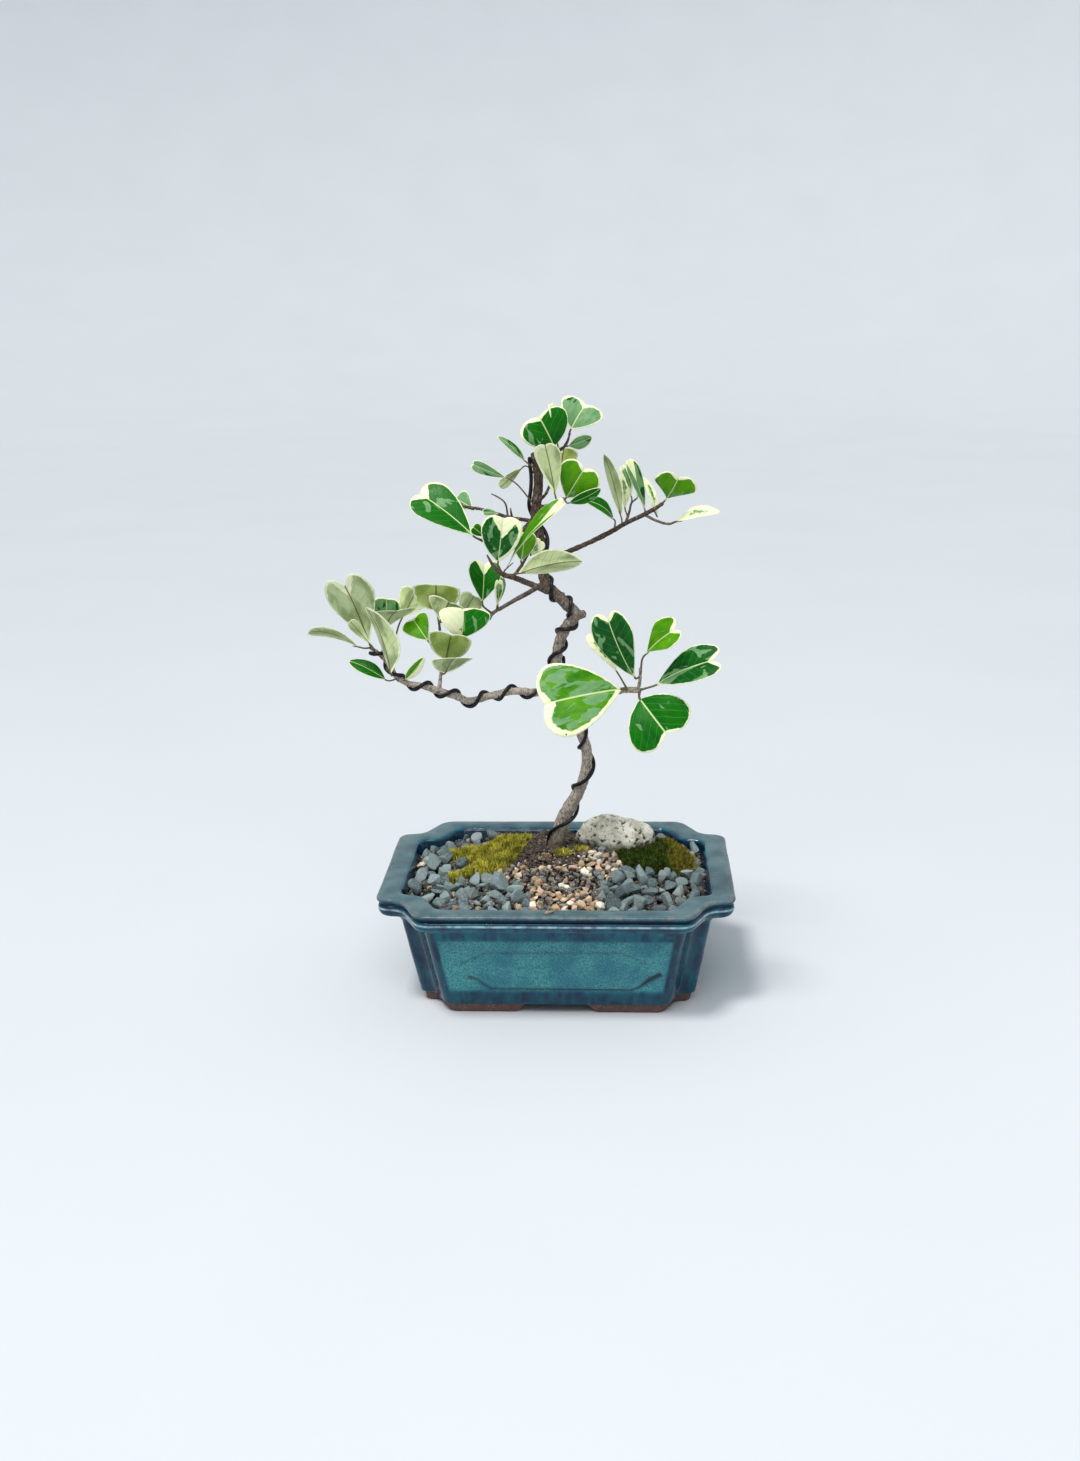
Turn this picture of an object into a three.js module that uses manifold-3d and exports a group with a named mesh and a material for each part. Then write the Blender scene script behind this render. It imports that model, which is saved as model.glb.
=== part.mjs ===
// Variegated ficus bonsai, wired and potted.
// Millimetres, Z up. X runs along the pot's long side and Y from its front to its back.
import * as THREE from "three";
import { mergeVertices } from "three/addons/utils/BufferGeometryUtils.js";
import Module from "manifold-3d";

const wasm = await Module();
wasm.setup();

// Clearance between pieces that touch, and between the areas of the top dressing
const GAP = 0.3;
const AREA_GAP = 0.39;

// Pot: 6 in by 4 1/4 in by 2 in over the rim
const POT_HEIGHT = 53;
const RIM_HALF_X = 76;
const RIM_HALF_Y = 54.5;
const RIM_WIDTH_X = 9.5;
const RIM_WIDTH_Y = 8;
const RIM_ROUNDING = 0.9;
const BODY_TOP_Z = 40.5;
const BODY_TOP_INSET = 10;
const BODY_FOOT_INSET = 16;
const WALL = 5;
const FLOOR_TOP_Z = 9;
const FOOT_HEIGHT = 4.5;
const FOOT_BAND = 9;
const FOOT_INSET = 1.4;
const FOOT_TAPER = 1;
const FOOT_ARCH_LONG = 15;
const FOOT_ARCH_SHORT = 11;
const NOTCH_X = 19.5;
const NOTCH_Y = 17.5;
const NOTCH_BEND_X = 0.57;
const NOTCH_BEND_Y = 0.92;
const RIM_INNER_NOTCH = 0.9;
const BODY_NOTCH = 0.64;
const CORNER_ROUNDING = 3;

// Under the rim: inset from the rim's edge and height
const LIP_PROFILE = [
  [7.5, 42.5],
  [2.6, 45.4],
  [1.4, 46.8],
  [1.6, 48.2],
  [0.3, 49],
];

// Two drain holes in the floor
const DRAIN_RADIUS = 6;
const DRAIN_X = 32;

// Drain screens: plastic mesh squares on the pot's floor
const SCREEN_SIDE = 24;
const SCREEN_THICKNESS = 0.8;
const SCREEN_OPENING = 5;
const SCREEN_PITCH = 7;

// Soil and top dressing
const GRAVEL_EDGE_Z = 49.4;
const DRESSING_DEPTH = 3.3;
const MOUND_HEIGHT = 5.5;
const MOUND_SPREAD = 16;
const MOUND_X = -1;
const MOUND_Y = 19;
const MOSS_RISE = 2.6;
const BED_RINGS = 4;

// Stone beside the trunk
const STONE_CENTRE = new THREE.Vector3(25.5, 31, 52);
const STONE_HALF_SIZE = new THREE.Vector3(18.5, 10.5, 13);
const STONE_BASE_Z = 49.2;

// Training wire
const WIRE_RADIUS = 0.75;
const WIRE_SIDES = 5;
const WIRE_STEP = 2.9;
const WIRE_COIL_RADIUS = 3;
const WIRE_CLEARANCE = 0.48;
const WIRE_BURIED_DEPTHS = [12, 8, 4];
const WIRE_BURIED_LEAN = new THREE.Vector3(-0.12, -0.1, -1);

// Leaves
const LEAF_THICKNESS = 0.6;
const STALK_RADIUS = 0.55;
const STALK_SIDES = 4;
const BLADE_ROWS = 5;
const BROAD_LEAF_WIDTH = 10;
const PLAIN_LOBE = 0.05;
const PLAIN_ARCH = 0.28;

// The tree was measured along sight lines: a point is a column and a row of the view, and a depth in Y.
const VIEW_WIDTH = 1080;
const VIEW_HEIGHT = 1461;
const VIEW_FOCAL = 1442;
const VIEW_EYE = new THREE.Vector3(28.6, -590.3, 303);
const VIEW_TURN = THREE.MathUtils.degToRad(3.43);
const VIEW_PITCH = THREE.MathUtils.degToRad(17.59);
const VIEW_ROLL = THREE.MathUtils.degToRad(1.2);

const heading = new THREE.Vector3(-Math.sin(VIEW_TURN), Math.cos(VIEW_TURN), 0);
const viewRight = new THREE.Vector3(Math.cos(VIEW_TURN), Math.sin(VIEW_TURN), 0);
const viewForward = heading.clone().multiplyScalar(Math.cos(VIEW_PITCH));
viewForward.z = -Math.sin(VIEW_PITCH);
const viewUp = heading.clone().multiplyScalar(Math.sin(VIEW_PITCH));
viewUp.z = Math.cos(VIEW_PITCH);

// The point at a column and a row of the view, at the given depth
function seen(column, row, depth) {
  const across = column - VIEW_WIDTH / 2;
  const down = row - VIEW_HEIGHT / 2;
  const u = (Math.cos(VIEW_ROLL) * across - Math.sin(VIEW_ROLL) * down) / VIEW_FOCAL;
  const v = (Math.sin(VIEW_ROLL) * across + Math.cos(VIEW_ROLL) * down) / VIEW_FOCAL;
  const ray = viewForward.clone().addScaledVector(viewRight, u).addScaledVector(viewUp, -v);
  return VIEW_EYE.clone().addScaledVector(ray, (depth - VIEW_EYE.y) / ray.y);
}

// Limbs: each point is a column, a row, a depth and the limb's radius there
const LIMBS = {
  trunk: {
    sides: 7,
    step: 5,
    points: [
      [551, 858, 20, 4.2],
      [557, 842, 19, 3.7],
      [563, 820, 18, 3.2],
      [571, 805, 16, 3.0],
      [579, 791, 14, 2.6],
      [584, 778, 12, 2.4],
      [587, 760, 10, 2.35],
      [586, 747, 9, 2.3],
      [580, 731, 8, 2.3],
      [570, 712, 7, 2.3],
      [560, 690, 6, 2.3],
      [556, 668, 5, 2.3],
      [558, 650, 5, 2.3],
      [561, 638, 4, 2.3],
      [568, 625, 4, 2.4],
      [575, 614, 4, 2.5],
      [566, 604, 4, 2.4],
      [556, 594, 5, 2.3],
      [546, 584, 6, 2.3],
      [543, 572, 7, 2.3],
      [543, 555, 7, 2.2],
      [540, 538, 6, 2.1],
      [536, 522, 5, 2.2],
      [536, 505, 5, 2.1],
      [538, 490, 5, 2.0],
      [538, 473, 5, 1.9],
      [535, 460, 5, 1.6],
      [533, 453, 5, 1.2],
    ],
  },
  elbowStub: {
    sides: 6,
    step: 2,
    points: [[572, 616, 4, 2.0], [579, 615, 4, 1.9], [585, 613.5, 4, 1.7]],
  },
  lowerLeft: {
    sides: 5,
    step: 5,
    points: [
      [559, 690, 6, 1.7],
      [545, 692, 5, 1.7],
      [533.7, 692.6, 3, 1.7],
      [515.5, 691, 1, 1.6],
      [489, 696, 0, 1.6],
      [469, 701, -3, 1.6],
      [455.8, 696, -5, 1.6],
      [439, 691, -6, 1.5],
      [422.6, 686, -7, 1.35],
      [406, 682.7, -8, 1.25],
      [396, 676, -8.5, 1.2],
      [387.8, 662.8, -9, 1.1],
      [379.5, 654.5, -9.5, 1.0],
      [371, 648, -10, 0.9],
    ],
  },
  lowerShoot: {
    sides: 4,
    step: 4,
    points: [
      [439.5, 690, -6, 0.9],
      [441, 673, -5, 0.8],
      [444, 660, -4, 0.75],
      [441, 640, -3, 0.7],
      [439.5, 627, -2.5, 0.65],
      [437, 606, -2, 0.55],
    ],
  },
  rightFront: {
    sides: 5,
    step: 5,
    points: [
      [572, 716, 7, 1.4],
      [590, 706, -10, 1.3],
      [610, 694, -28, 1.3],
      [625, 690, -36, 1.3],
      [640, 690, -38, 1.2],
    ],
  },
  rightFrontTwig: {
    sides: 4,
    step: 3.5,
    points: [[638, 690, -38, 0.8], [640, 680, -38.5, 0.7], [640, 668, -39, 0.55]],
  },
  frontLeft: {
    sides: 5,
    step: 4,
    points: [
      [556, 594, 5, 1.4],
      [545, 590, 3, 1.4],
      [533, 585, 0, 1.3],
      [515, 578, -6, 1.2],
      [503, 574.7, -10, 1.1],
    ],
  },
  frontLeftBud: {
    sides: 4,
    step: 3.5,
    points: [[503, 574.7, -10, 0.9], [495, 568, -11, 0.8], [487, 555, -12, 0.35]],
  },
  frontLeftTwig: {
    sides: 4,
    step: 3.5,
    points: [[513, 577, -7, 0.7], [521, 566, -7.5, 0.65], [528, 554, -8, 0.55], [535, 540, -8, 0.4]],
  },
  backLeft: {
    sides: 4,
    step: 4,
    points: [
      [543, 583, 7, 1.1],
      [533, 590, 9, 1.1],
      [515, 600, 12, 1.0],
      [503, 607, 14, 0.9],
      [492, 614, 15, 0.85],
      [489, 620, 15, 0.7],
    ],
  },
  upperRight: {
    sides: 5,
    step: 5,
    points: [
      [543, 560, 7, 1.2],
      [555, 556, 9, 1.2],
      [567, 552, 11, 1.15],
      [587, 543.5, 14, 1.1],
      [612, 531, 17, 1.1],
      [626, 523, 18, 1.0],
      [643, 515, 19, 1.0],
      [655, 508.5, 19, 0.95],
      [663, 503, 19, 0.8],
    ],
  },
  upperRightFork: {
    sides: 4,
    step: 3.5,
    points: [[645, 515, 19, 0.6], [657, 521, 18, 0.55], [669, 524, 17, 0.5], [675, 522, 16, 0.4]],
  },
  upperRightTwig: {
    sides: 4,
    step: 3.5,
    points: [[626, 522, 18, 0.6], [629.5, 511, 18, 0.5], [631.5, 503, 18, 0.4], [636, 499, 18, 0.35]],
  },
  upperLeft: {
    sides: 4,
    step: 3.5,
    points: [
      [534, 519, 5, 1.2],
      [520, 532, 3, 1.0],
      [505, 538, 1, 0.9],
      [492, 541, -1, 0.8],
      [482, 540.5, -3, 0.7],
    ],
  },
  upperBack: {
    sides: 4,
    step: 4,
    points: [
      [533, 521, 6, 0.9],
      [508, 517, 9, 0.8],
      [485, 510, 12, 0.7],
      [468, 507, 14, 0.65],
      [460, 505.5, 15, 0.6],
    ],
  },
  deadTwig: {
    sides: 4,
    step: 4,
    points: [[508, 517, 9, 0.4], [505, 503, 8, 0.35], [498.6, 497.5, 8, 0.3], [491.5, 494, 8, 0.25]],
  },
  thorn: { sides: 4, step: 3.5, points: [[512, 517, 9, 0.5], [511, 512, 8, 0.4], [510.6, 508, 8, 0.25]] },
  upperSpur: {
    sides: 4,
    step: 3.5,
    points: [[537, 501, 5, 0.9], [545, 495, 2, 0.7], [549, 487, 0, 0.6], [551, 481, -1, 0.5]],
  },
  upperSpurRight: {
    sides: 4,
    step: 3.5,
    points: [[537, 508, 5, 1.0], [550, 505, 2, 0.9], [559, 502, 0, 0.75], [564, 498, -1, 0.65]],
  },
  topTwig: {
    sides: 4,
    step: 3.5,
    points: [
      [537, 470, 5, 0.9],
      [547, 460, 4.5, 0.8],
      [556, 452, 4, 0.75],
      [564, 447, 4, 0.7],
      [568, 440, 4, 0.6],
      [569.5, 434, 4, 0.5],
    ],
  },
};

// Buried roots: length, heading in degrees and drop, from the trunk's foot
const ROOTS = [
  { heading: 20, length: 26, drop: 12 },
  { heading: 125, length: 20, drop: 14 },
  { heading: 205, length: 30, drop: 11 },
  { heading: 300, length: 28, drop: 13 },
];
const ROOT_RADIUS = 2.2;

// Training wire stations: a row (trunk) or a column (branch) of the view, and turns counted from the front
const TRUNK_WIRE_TURNS = [
  [838, -0.3],
  [821, 0],
  [778, 1],
  [753, 1.5],
  [738, 2],
  [697, 3],
  [650, 4],
  [628, 5],
  [607, 6],
  [590, 7],
  [555, 8],
  [522, 8.5],
  [505, 8.72],
  [470, 8.75],
  [455, 8.85],
];
const BRANCH_WIRE_ON_TRUNK = [
  [657, 4.35],
  [689, 3.67],
];
const BRANCH_WIRE_TURNS = [
  [545, 1.4],
  [505, 0],
  [478, -1],
  [447, -2],
  [421, -3],
  [394, -4],
  [378, -5],
  [372, -5.3],
];

// Leaves, grouped by the limb that carries them.
// base and tip are a column, a row and a depth; width is in millimetres; face is the turn in degrees about
// the midrib, 0 where the upper side is seen and 180 where the underside is; fold is each half's rise in
// degrees; root is where the stalk meets the limb; lobe is how far the lobes reach past the notch and arch
// the midrib's rise, as shares of the length (a lobe under 0 makes a pointed oval); fullness swells the base.
const LEAVES = [
  {
    limb: "rightFront", root: [628, 690], base: [622, 689, -39],
    tip: [545, 704, -50], width: 31, face: 12, fold: 8, lobe: 0.06,
  },
  {
    limb: "rightFrontTwig", base: [635, 678, -40],
    tip: [608, 619, -47], width: 17, face: -30, fold: 14, lobe: 0.12, fullness: -0.1,
  },
  {
    limb: "rightFront", root: [627, 690], base: [617, 672, -37],
    tip: [592, 634, -35], width: 9, face: 30, fold: 5,
  },
  {
    limb: "rightFrontTwig", root: [640, 676], base: [645, 655, -40],
    tip: [674, 630, -47], width: 14.5, face: -32, fold: 24, lobe: 0.18, fullness: -0.6,
  },
  {
    limb: "rightFront", root: [640, 690], base: [656, 685, -39],
    tip: [711, 661, -50], width: 16.5, face: -34, fold: 16, lobe: 0.18, fullness: -0.1,
  },
  {
    limb: "rightFront", root: [638, 691], base: [640, 699, -40],
    tip: [666, 733, -49], width: 28, face: 8, fold: 8, lobe: 0.17, fullness: 0.4,
  },
  {
    limb: "lowerLeft", root: [373, 649], base: [370, 645, -10],
    tip: [345, 586, -14], width: 20.5, face: 168, fold: 8, lobe: 0.2, fullness: -0.3,
  },
  {
    limb: "lowerLeft", root: [371, 648], base: [359, 647, -18],
    tip: [309, 631, -24], width: 9, face: 118, fold: 6, lobe: 0, arch: 0.4,
  },
  {
    limb: "lowerLeft", root: [376, 652], base: [371, 645, -15],
    tip: [350, 621, -16], width: 4.5, face: 180, fold: 10, lobe: 0,
  },
  {
    limb: "lowerLeft", root: [391, 668], base: [391, 674, -17],
    tip: [366, 607, -23], width: 17, face: 125, fold: 22, lobe: -0.08,
  },
  {
    limb: "lowerLeft", root: [378, 653], base: [385, 629, 5],
    tip: [396, 611, -5], width: 21, face: 236, fold: 12, lobe: 0.03,
  },
  {
    limb: "lowerLeft", root: [398, 678], base: [386, 680, -6],
    tip: [349, 661, -1], width: 7.5, face: 35, fold: 15, lobe: -0.02,
  },
  {
    limb: "lowerLeft", root: [405, 682], base: [405, 680, -9],
    tip: [424, 657, -13], width: 5, face: 30, fold: 10, lobe: -0.05,
  },
  {
    limb: "lowerLeft", root: [388, 664], base: [402, 618, 7],
    tip: [416, 591, 9], width: 13, face: 180, fold: 10,
  },
  {
    limb: "lowerShoot", base: [436, 610, -2],
    tip: [436, 585, -7], width: 20, face: 181, fold: 6, lobe: 0.04, fullness: 1,
  },
  {
    limb: "lowerShoot", root: [440, 630], base: [440, 621, -4],
    tip: [449, 602, -6.5], width: 17, face: 190, fold: 12,
  },
  {
    limb: "lowerShoot", root: [442, 648], base: [428, 641, -1],
    tip: [413, 619, 5], width: 13, fold: 14,
  },
  {
    limb: "lowerShoot", root: [442, 645], base: [461, 638, -11],
    tip: [463, 609, -9], width: 24, face: 26, fold: 16, lobe: 0.06, fullness: 0.3,
  },
  {
    limb: "lowerShoot", root: [443, 665], base: [446, 659, -9],
    tip: [451, 635, -16], width: 18.5, face: 188, fold: 8, lobe: 0.13, fullness: 0.9,
  },
  {
    limb: "lowerShoot", root: [441, 675], base: [445, 673, -10],
    tip: [455, 658, -20], width: 17.5, face: 228, fold: 8, lobe: 0.03, fullness: 0.5,
  },
  {
    limb: "lowerShoot", root: [439, 618], base: [461, 617, 9],
    tip: [474, 596, 14], width: 11, face: 180, fold: 10,
  },
  {
    limb: "backLeft", root: [491, 616], base: [482.3, 602, 12],
    tip: [484, 565, 17], width: 17.5, face: 12, fold: 34, lobe: 0.14,
  },
  {
    limb: "backLeft", root: [498, 610], base: [498, 603.5, 14],
    tip: [502, 578, 17], width: 5.5, face: 60, fold: 8,
  },
  {
    limb: "frontLeft", root: [503, 575], base: [498, 562, -15],
    tip: [503, 519, -20], width: 17, face: 4, fold: 12, lobe: 0.07, fullness: 0.2,
  },
  {
    limb: "frontLeft", root: [509, 577], base: [505, 570, -12],
    tip: [562, 504, -23], width: 8.5, face: -38, fold: 36, fullness: -0.8,
  },
  {
    limb: "frontLeft", root: [512, 577], base: [518, 573.5, -12],
    tip: [582, 561, -18], width: 13, face: 225, fold: 22, lobe: -0.08,
  },
  {
    limb: "frontLeftTwig", root: [522, 565], base: [521, 561, -11],
    tip: [525, 534, -14], width: 10, face: 10, fold: 12, lobe: 0.1,
  },
  {
    limb: "upperLeft", root: [483, 540], base: [474, 536.5, -5],
    tip: [420, 494, 2], width: 19, face: 20, fold: 12, lobe: 0.05,
  },
  {
    limb: "upperBack", root: [462, 506], base: [473, 509, 17],
    tip: [456, 499, 22], width: 10, face: 10, fold: 12,
  },
  {
    limb: "trunk", root: [535, 506], base: [507, 478, 3],
    tip: [473, 464, 1], width: 5, face: -20, fold: 15, lobe: 0.03,
  },
  {
    limb: "trunk", root: [537, 472], base: [525, 461, 0],
    tip: [497, 436, -4], width: 3.6, face: 15, fold: 20, lobe: -0.02, arch: 0.45,
  },
  {
    limb: "trunk", root: [537, 476], base: [523, 467, 9],
    tip: [500, 487, 12], width: 4.4, face: 160, fold: 6, lobe: 0,
  },
  {
    limb: "upperSpurRight", root: [555, 503], base: [555.6, 497, -5],
    tip: [545, 445, -10], width: 11, face: 166, fold: 12, lobe: 0.02,
  },
  {
    limb: "topTwig", root: [557, 452], base: [560, 471, 6],
    tip: [564, 448, 9], width: 13, face: 180, fold: 14, fullness: 0.5,
  },
  {
    limb: "upperSpurRight", root: [564, 498], base: [566, 498, 1],
    tip: [584, 469, -4], width: 18, face: 8, fold: 10, lobe: 0.13,
  },
  {
    limb: "upperSpurRight", root: [561, 501], base: [569, 503, -4],
    tip: [601, 488, -9], width: 6, face: 45, fold: 12, lobe: -0.02,
  },
  {
    limb: "topTwig", root: [569.5, 435], base: [570.5, 430, 4],
    tip: [585.5, 404.5, 8], width: 19, face: -8, fold: 8, lobe: 0.11,
  },
  {
    limb: "topTwig", root: [558, 451], base: [554, 446.5, 1],
    tip: [539, 417, -1], width: 22, face: 6, fold: 14, lobe: 0.1, fullness: 0.5,
  },
  {
    limb: "topTwig", root: [565, 446], base: [568, 446, 6],
    tip: [592, 437, 8], width: 6, face: 30, fold: 16, lobe: -0.03,
  },
  {
    limb: "upperRight", root: [615, 529], base: [613.5, 519, 15],
    tip: [584, 500, 8], width: 8, face: 40, fold: 15, lobe: -0.02, arch: 0.55,
  },
  {
    limb: "upperRight", root: [622, 525], base: [621.5, 518, 16],
    tip: [604, 454, 13], width: 6, face: 150, fold: 18, lobe: -0.05,
  },
  {
    limb: "upperRightTwig", root: [628, 516], base: [625, 508, 20],
    tip: [622, 472, 23], width: 4.5, face: 20, fold: 20, lobe: -0.05,
  },
  {
    limb: "upperRight", root: [643, 515], base: [645, 510, 19],
    tip: [628, 460, 15], width: 7.5, face: 10, fold: 40, lobe: 0,
  },
  {
    limb: "upperRight", root: [654, 509], base: [657, 516, 21],
    tip: [643, 477, 25], width: 5.5, face: 40, fold: 15, lobe: -0.05,
  },
  {
    limb: "upperRight", root: [662, 504], base: [664.5, 501, 19],
    tip: [678.5, 478, 9], width: 18.5, face: 20, fold: 10, lobe: 0.13, fullness: -1,
  },
  {
    limb: "upperRightFork", root: [674, 522], base: [677, 521.5, 15],
    tip: [720, 512.3, 11], width: 9, face: -50, fold: 14, lobe: -0.08, arch: 0.42,
  },
];

// Areas of the top dressing, seen from above
const MOSS_LEFT_OUTLINE = [
  [-52, 22],
  [-44, 27],
  [-36, 28],
  [-29, 40],
  [-14, 38],
  [-16, 26],
  [-20, 8],
  [-27, -4],
  [-34, -7],
  [-41, -7],
  [-47, -10],
  [-50, -5],
  [-43, 0],
  [-39, 6],
  [-46, 11],
  [-51, 16],
];
const MOSS_RIGHT_OUTLINE = [
  [25, 22],
  [34, 28],
  [43, 37],
  [50, 39],
  [57, 27],
  [61.5, 15],
  [61.5, 4],
  [58, -3],
  [53, -5],
  [50, 0],
  [46, 2],
  [40, 0],
  [34, 1],
  [29, 6],
  [26, 13],
];
const BARK_OUTLINE = [
  [-30, 60],
  [-28, 38],
  [-18, 20],
  [-21, 6],
  [-12, 0],
  [8, 2],
  [9, 14],
  [28, 30],
  [46, 42],
  [46, 60],
];
const COARSE_LEFT_OUTLINE = [
  [-90, -70],
  [-10, -70],
  [-10, -38],
  [-13, -16],
  [-26, -5],
  [-36, 10],
  [-30, 36],
  [-30, 70],
  [-90, 70],
];
const COARSE_RIGHT_OUTLINE = [
  [20, -70],
  [90, -70],
  [90, 70],
  [46.5, 70],
  [46.5, 36],
  [32, 12],
  [25, 0],
  [18, -21],
  [20, -38],
];

const COLOURS = {
  glaze: { color: 0x1b6f7c, roughness: 0.25 },
  blackPlastic: { color: 0x1a1a1a, roughness: 0.6 },
  soil: { color: 0x2f241b, roughness: 0.95 },
  greyGravel: { color: 0x6f8082, roughness: 0.85 },
  fineGravel: { color: 0xb09a84, roughness: 0.85 },
  barkMulch: { color: 0x3a2a22, roughness: 0.95 },
  moss: { color: 0x7f8f2a, roughness: 0.95 },
  stone: { color: 0xb9b5a6, roughness: 0.9 },
  bark: { color: 0x827568, roughness: 0.85 },
  blackWire: { color: 0x14161a, roughness: 0.45 },
  leaf: { color: 0x2f7a45, roughness: 0.45 },
};

// Solids from closed meshes, and back
function solid(geometry) {
  const bare = geometry.clone();
  bare.deleteAttribute("normal");
  bare.deleteAttribute("uv");
  const merged = mergeVertices(bare, 1e-4);
  return new wasm.Manifold(
    new wasm.Mesh({
      numProp: 3,
      vertProperties: new Float32Array(merged.attributes.position.array),
      triVerts: new Uint32Array(merged.index.array),
    }),
  );
}

function largestBody(shape) {
  const bodies = shape.decompose();
  return bodies.reduce((best, body) => (body.volume() > best.volume() ? body : best));
}

function geometryOf(shape) {
  const mesh = shape.getMesh();
  const geometry = new THREE.BufferGeometry();
  geometry.setAttribute("position", new THREE.BufferAttribute(new Float32Array(mesh.vertProperties), 3));
  geometry.setIndex(new THREE.BufferAttribute(new Uint32Array(mesh.triVerts), 1));
  geometry.computeVertexNormals();
  return geometry;
}

// A closed skin over rings of equal point counts, closed by one point at each end
function skin(rings, firstPole, lastPole) {
  const count = rings[0].length;
  const vertices = [];
  const triangles = [];
  rings.flat().forEach((point) => vertices.push(point.x, point.y, point.z));
  const firstIndex = rings.length * count;
  const lastIndex = firstIndex + 1;
  vertices.push(firstPole.x, firstPole.y, firstPole.z, lastPole.x, lastPole.y, lastPole.z);
  const lastRing = (rings.length - 1) * count;
  for (let j = 0; j < count; j++) {
    const next = (j + 1) % count;
    triangles.push(firstIndex, next, j, lastIndex, lastRing + j, lastRing + next);
    for (let i = 0; i + 1 < rings.length; i++) {
      const low = i * count;
      const high = low + count;
      triangles.push(low + j, low + next, high + next, low + j, high + next, high + j);
    }
  }
  const geometry = new THREE.BufferGeometry();
  geometry.setAttribute("position", new THREE.Float32BufferAttribute(vertices, 3));
  geometry.setIndex(triangles);
  return geometry;
}

// Notched rectangle, counter-clockwise from above; notch is a share of the rim's notch
function potOutline(halfX, halfY, notch) {
  const notchX = NOTCH_X * notch;
  const notchY = NOTCH_Y * notch;
  const corners = [
    new THREE.Vector2(0, halfY),
    new THREE.Vector2(halfX - notchX, halfY),
    new THREE.Vector2(halfX - notchX * NOTCH_BEND_X, halfY - notchY * NOTCH_BEND_Y),
    new THREE.Vector2(halfX, halfY - notchY),
    new THREE.Vector2(halfX, 0),
  ];
  const quarter = corners.slice(1, 4).flatMap((corner, i) => {
    const towardPrevious = corners[i].clone().sub(corner).setLength(CORNER_ROUNDING);
    const towardNext = corners[i + 2].clone().sub(corner).setLength(CORNER_ROUNDING);
    const start = corner.clone().add(towardPrevious);
    const end = corner.clone().add(towardNext);
    return new THREE.QuadraticBezierCurve(start, corner, end).getPoints(2);
  });
  const mirrored = (signX, signY) => quarter.map((p) => new THREE.Vector2(p.x * signX, p.y * signY));
  return [
    ...mirrored(1, 1).reverse(),
    ...mirrored(-1, 1),
    ...mirrored(-1, -1).reverse(),
    ...mirrored(1, -1),
  ];
}

function ring(halfX, halfY, notch, z) {
  return potOutline(halfX, halfY, notch).map((p) => new THREE.Vector3(p.x, p.y, z));
}

// The outer wall set in from the rim's edge; its notches narrow down to the body's
function outerRing(inset, z) {
  const share = Math.min(1, inset / BODY_TOP_INSET);
  return ring(RIM_HALF_X - inset, RIM_HALF_Y - inset, THREE.MathUtils.lerp(1, BODY_NOTCH, share), z);
}

// Half sizes and notch of the pot's inner wall at a height
function innerHalf(z) {
  const bodyTopX = RIM_HALF_X - BODY_TOP_INSET - WALL;
  const bodyTopY = RIM_HALF_Y - BODY_TOP_INSET - WALL;
  if (z >= BODY_TOP_Z) {
    const share = (z - BODY_TOP_Z) / (POT_HEIGHT - BODY_TOP_Z);
    return {
      x: THREE.MathUtils.lerp(bodyTopX, RIM_HALF_X - RIM_WIDTH_X, share),
      y: THREE.MathUtils.lerp(bodyTopY, RIM_HALF_Y - RIM_WIDTH_Y, share),
      notch: THREE.MathUtils.lerp(BODY_NOTCH, RIM_INNER_NOTCH, share),
    };
  }
  const share = (BODY_TOP_Z - z) / (BODY_TOP_Z - FOOT_HEIGHT);
  const taper = share * (BODY_FOOT_INSET - BODY_TOP_INSET);
  return { x: bodyTopX - taper, y: bodyTopY - taper, notch: BODY_NOTCH };
}

function potShape() {
  const inner = (z) => ring(innerHalf(z).x, innerHalf(z).y, innerHalf(z).notch, z);
  const rimInner = innerHalf(POT_HEIGHT);
  const rings = [
    outerRing(BODY_FOOT_INSET, FOOT_HEIGHT),
    outerRing(BODY_TOP_INSET, BODY_TOP_Z),
    ...LIP_PROFILE.map(([inset, z]) => outerRing(inset, z)),
    outerRing(0, POT_HEIGHT - RIM_ROUNDING),
    outerRing(RIM_ROUNDING, POT_HEIGHT),
    ring(rimInner.x + RIM_ROUNDING, rimInner.y + RIM_ROUNDING, rimInner.notch, POT_HEIGHT),
    inner(POT_HEIGHT - RIM_ROUNDING),
    inner(BODY_TOP_Z),
    inner(FLOOR_TOP_Z),
  ];
  const body = solid(
    skin(rings, new THREE.Vector3(0, 0, FOOT_HEIGHT), new THREE.Vector3(0, 0, FLOOR_TOP_Z)),
  );
  const drains = [-DRAIN_X, DRAIN_X].map((x) => {
    const bore = new THREE.CylinderGeometry(DRAIN_RADIUS, DRAIN_RADIUS, 4 * FLOOR_TOP_Z, 16);
    return solid(bore.rotateX(Math.PI / 2).translate(x, 0, 0));
  });
  return drains.reduce((pot, drain) => pot.subtract(drain), body.add(feetShape()));
}

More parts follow.
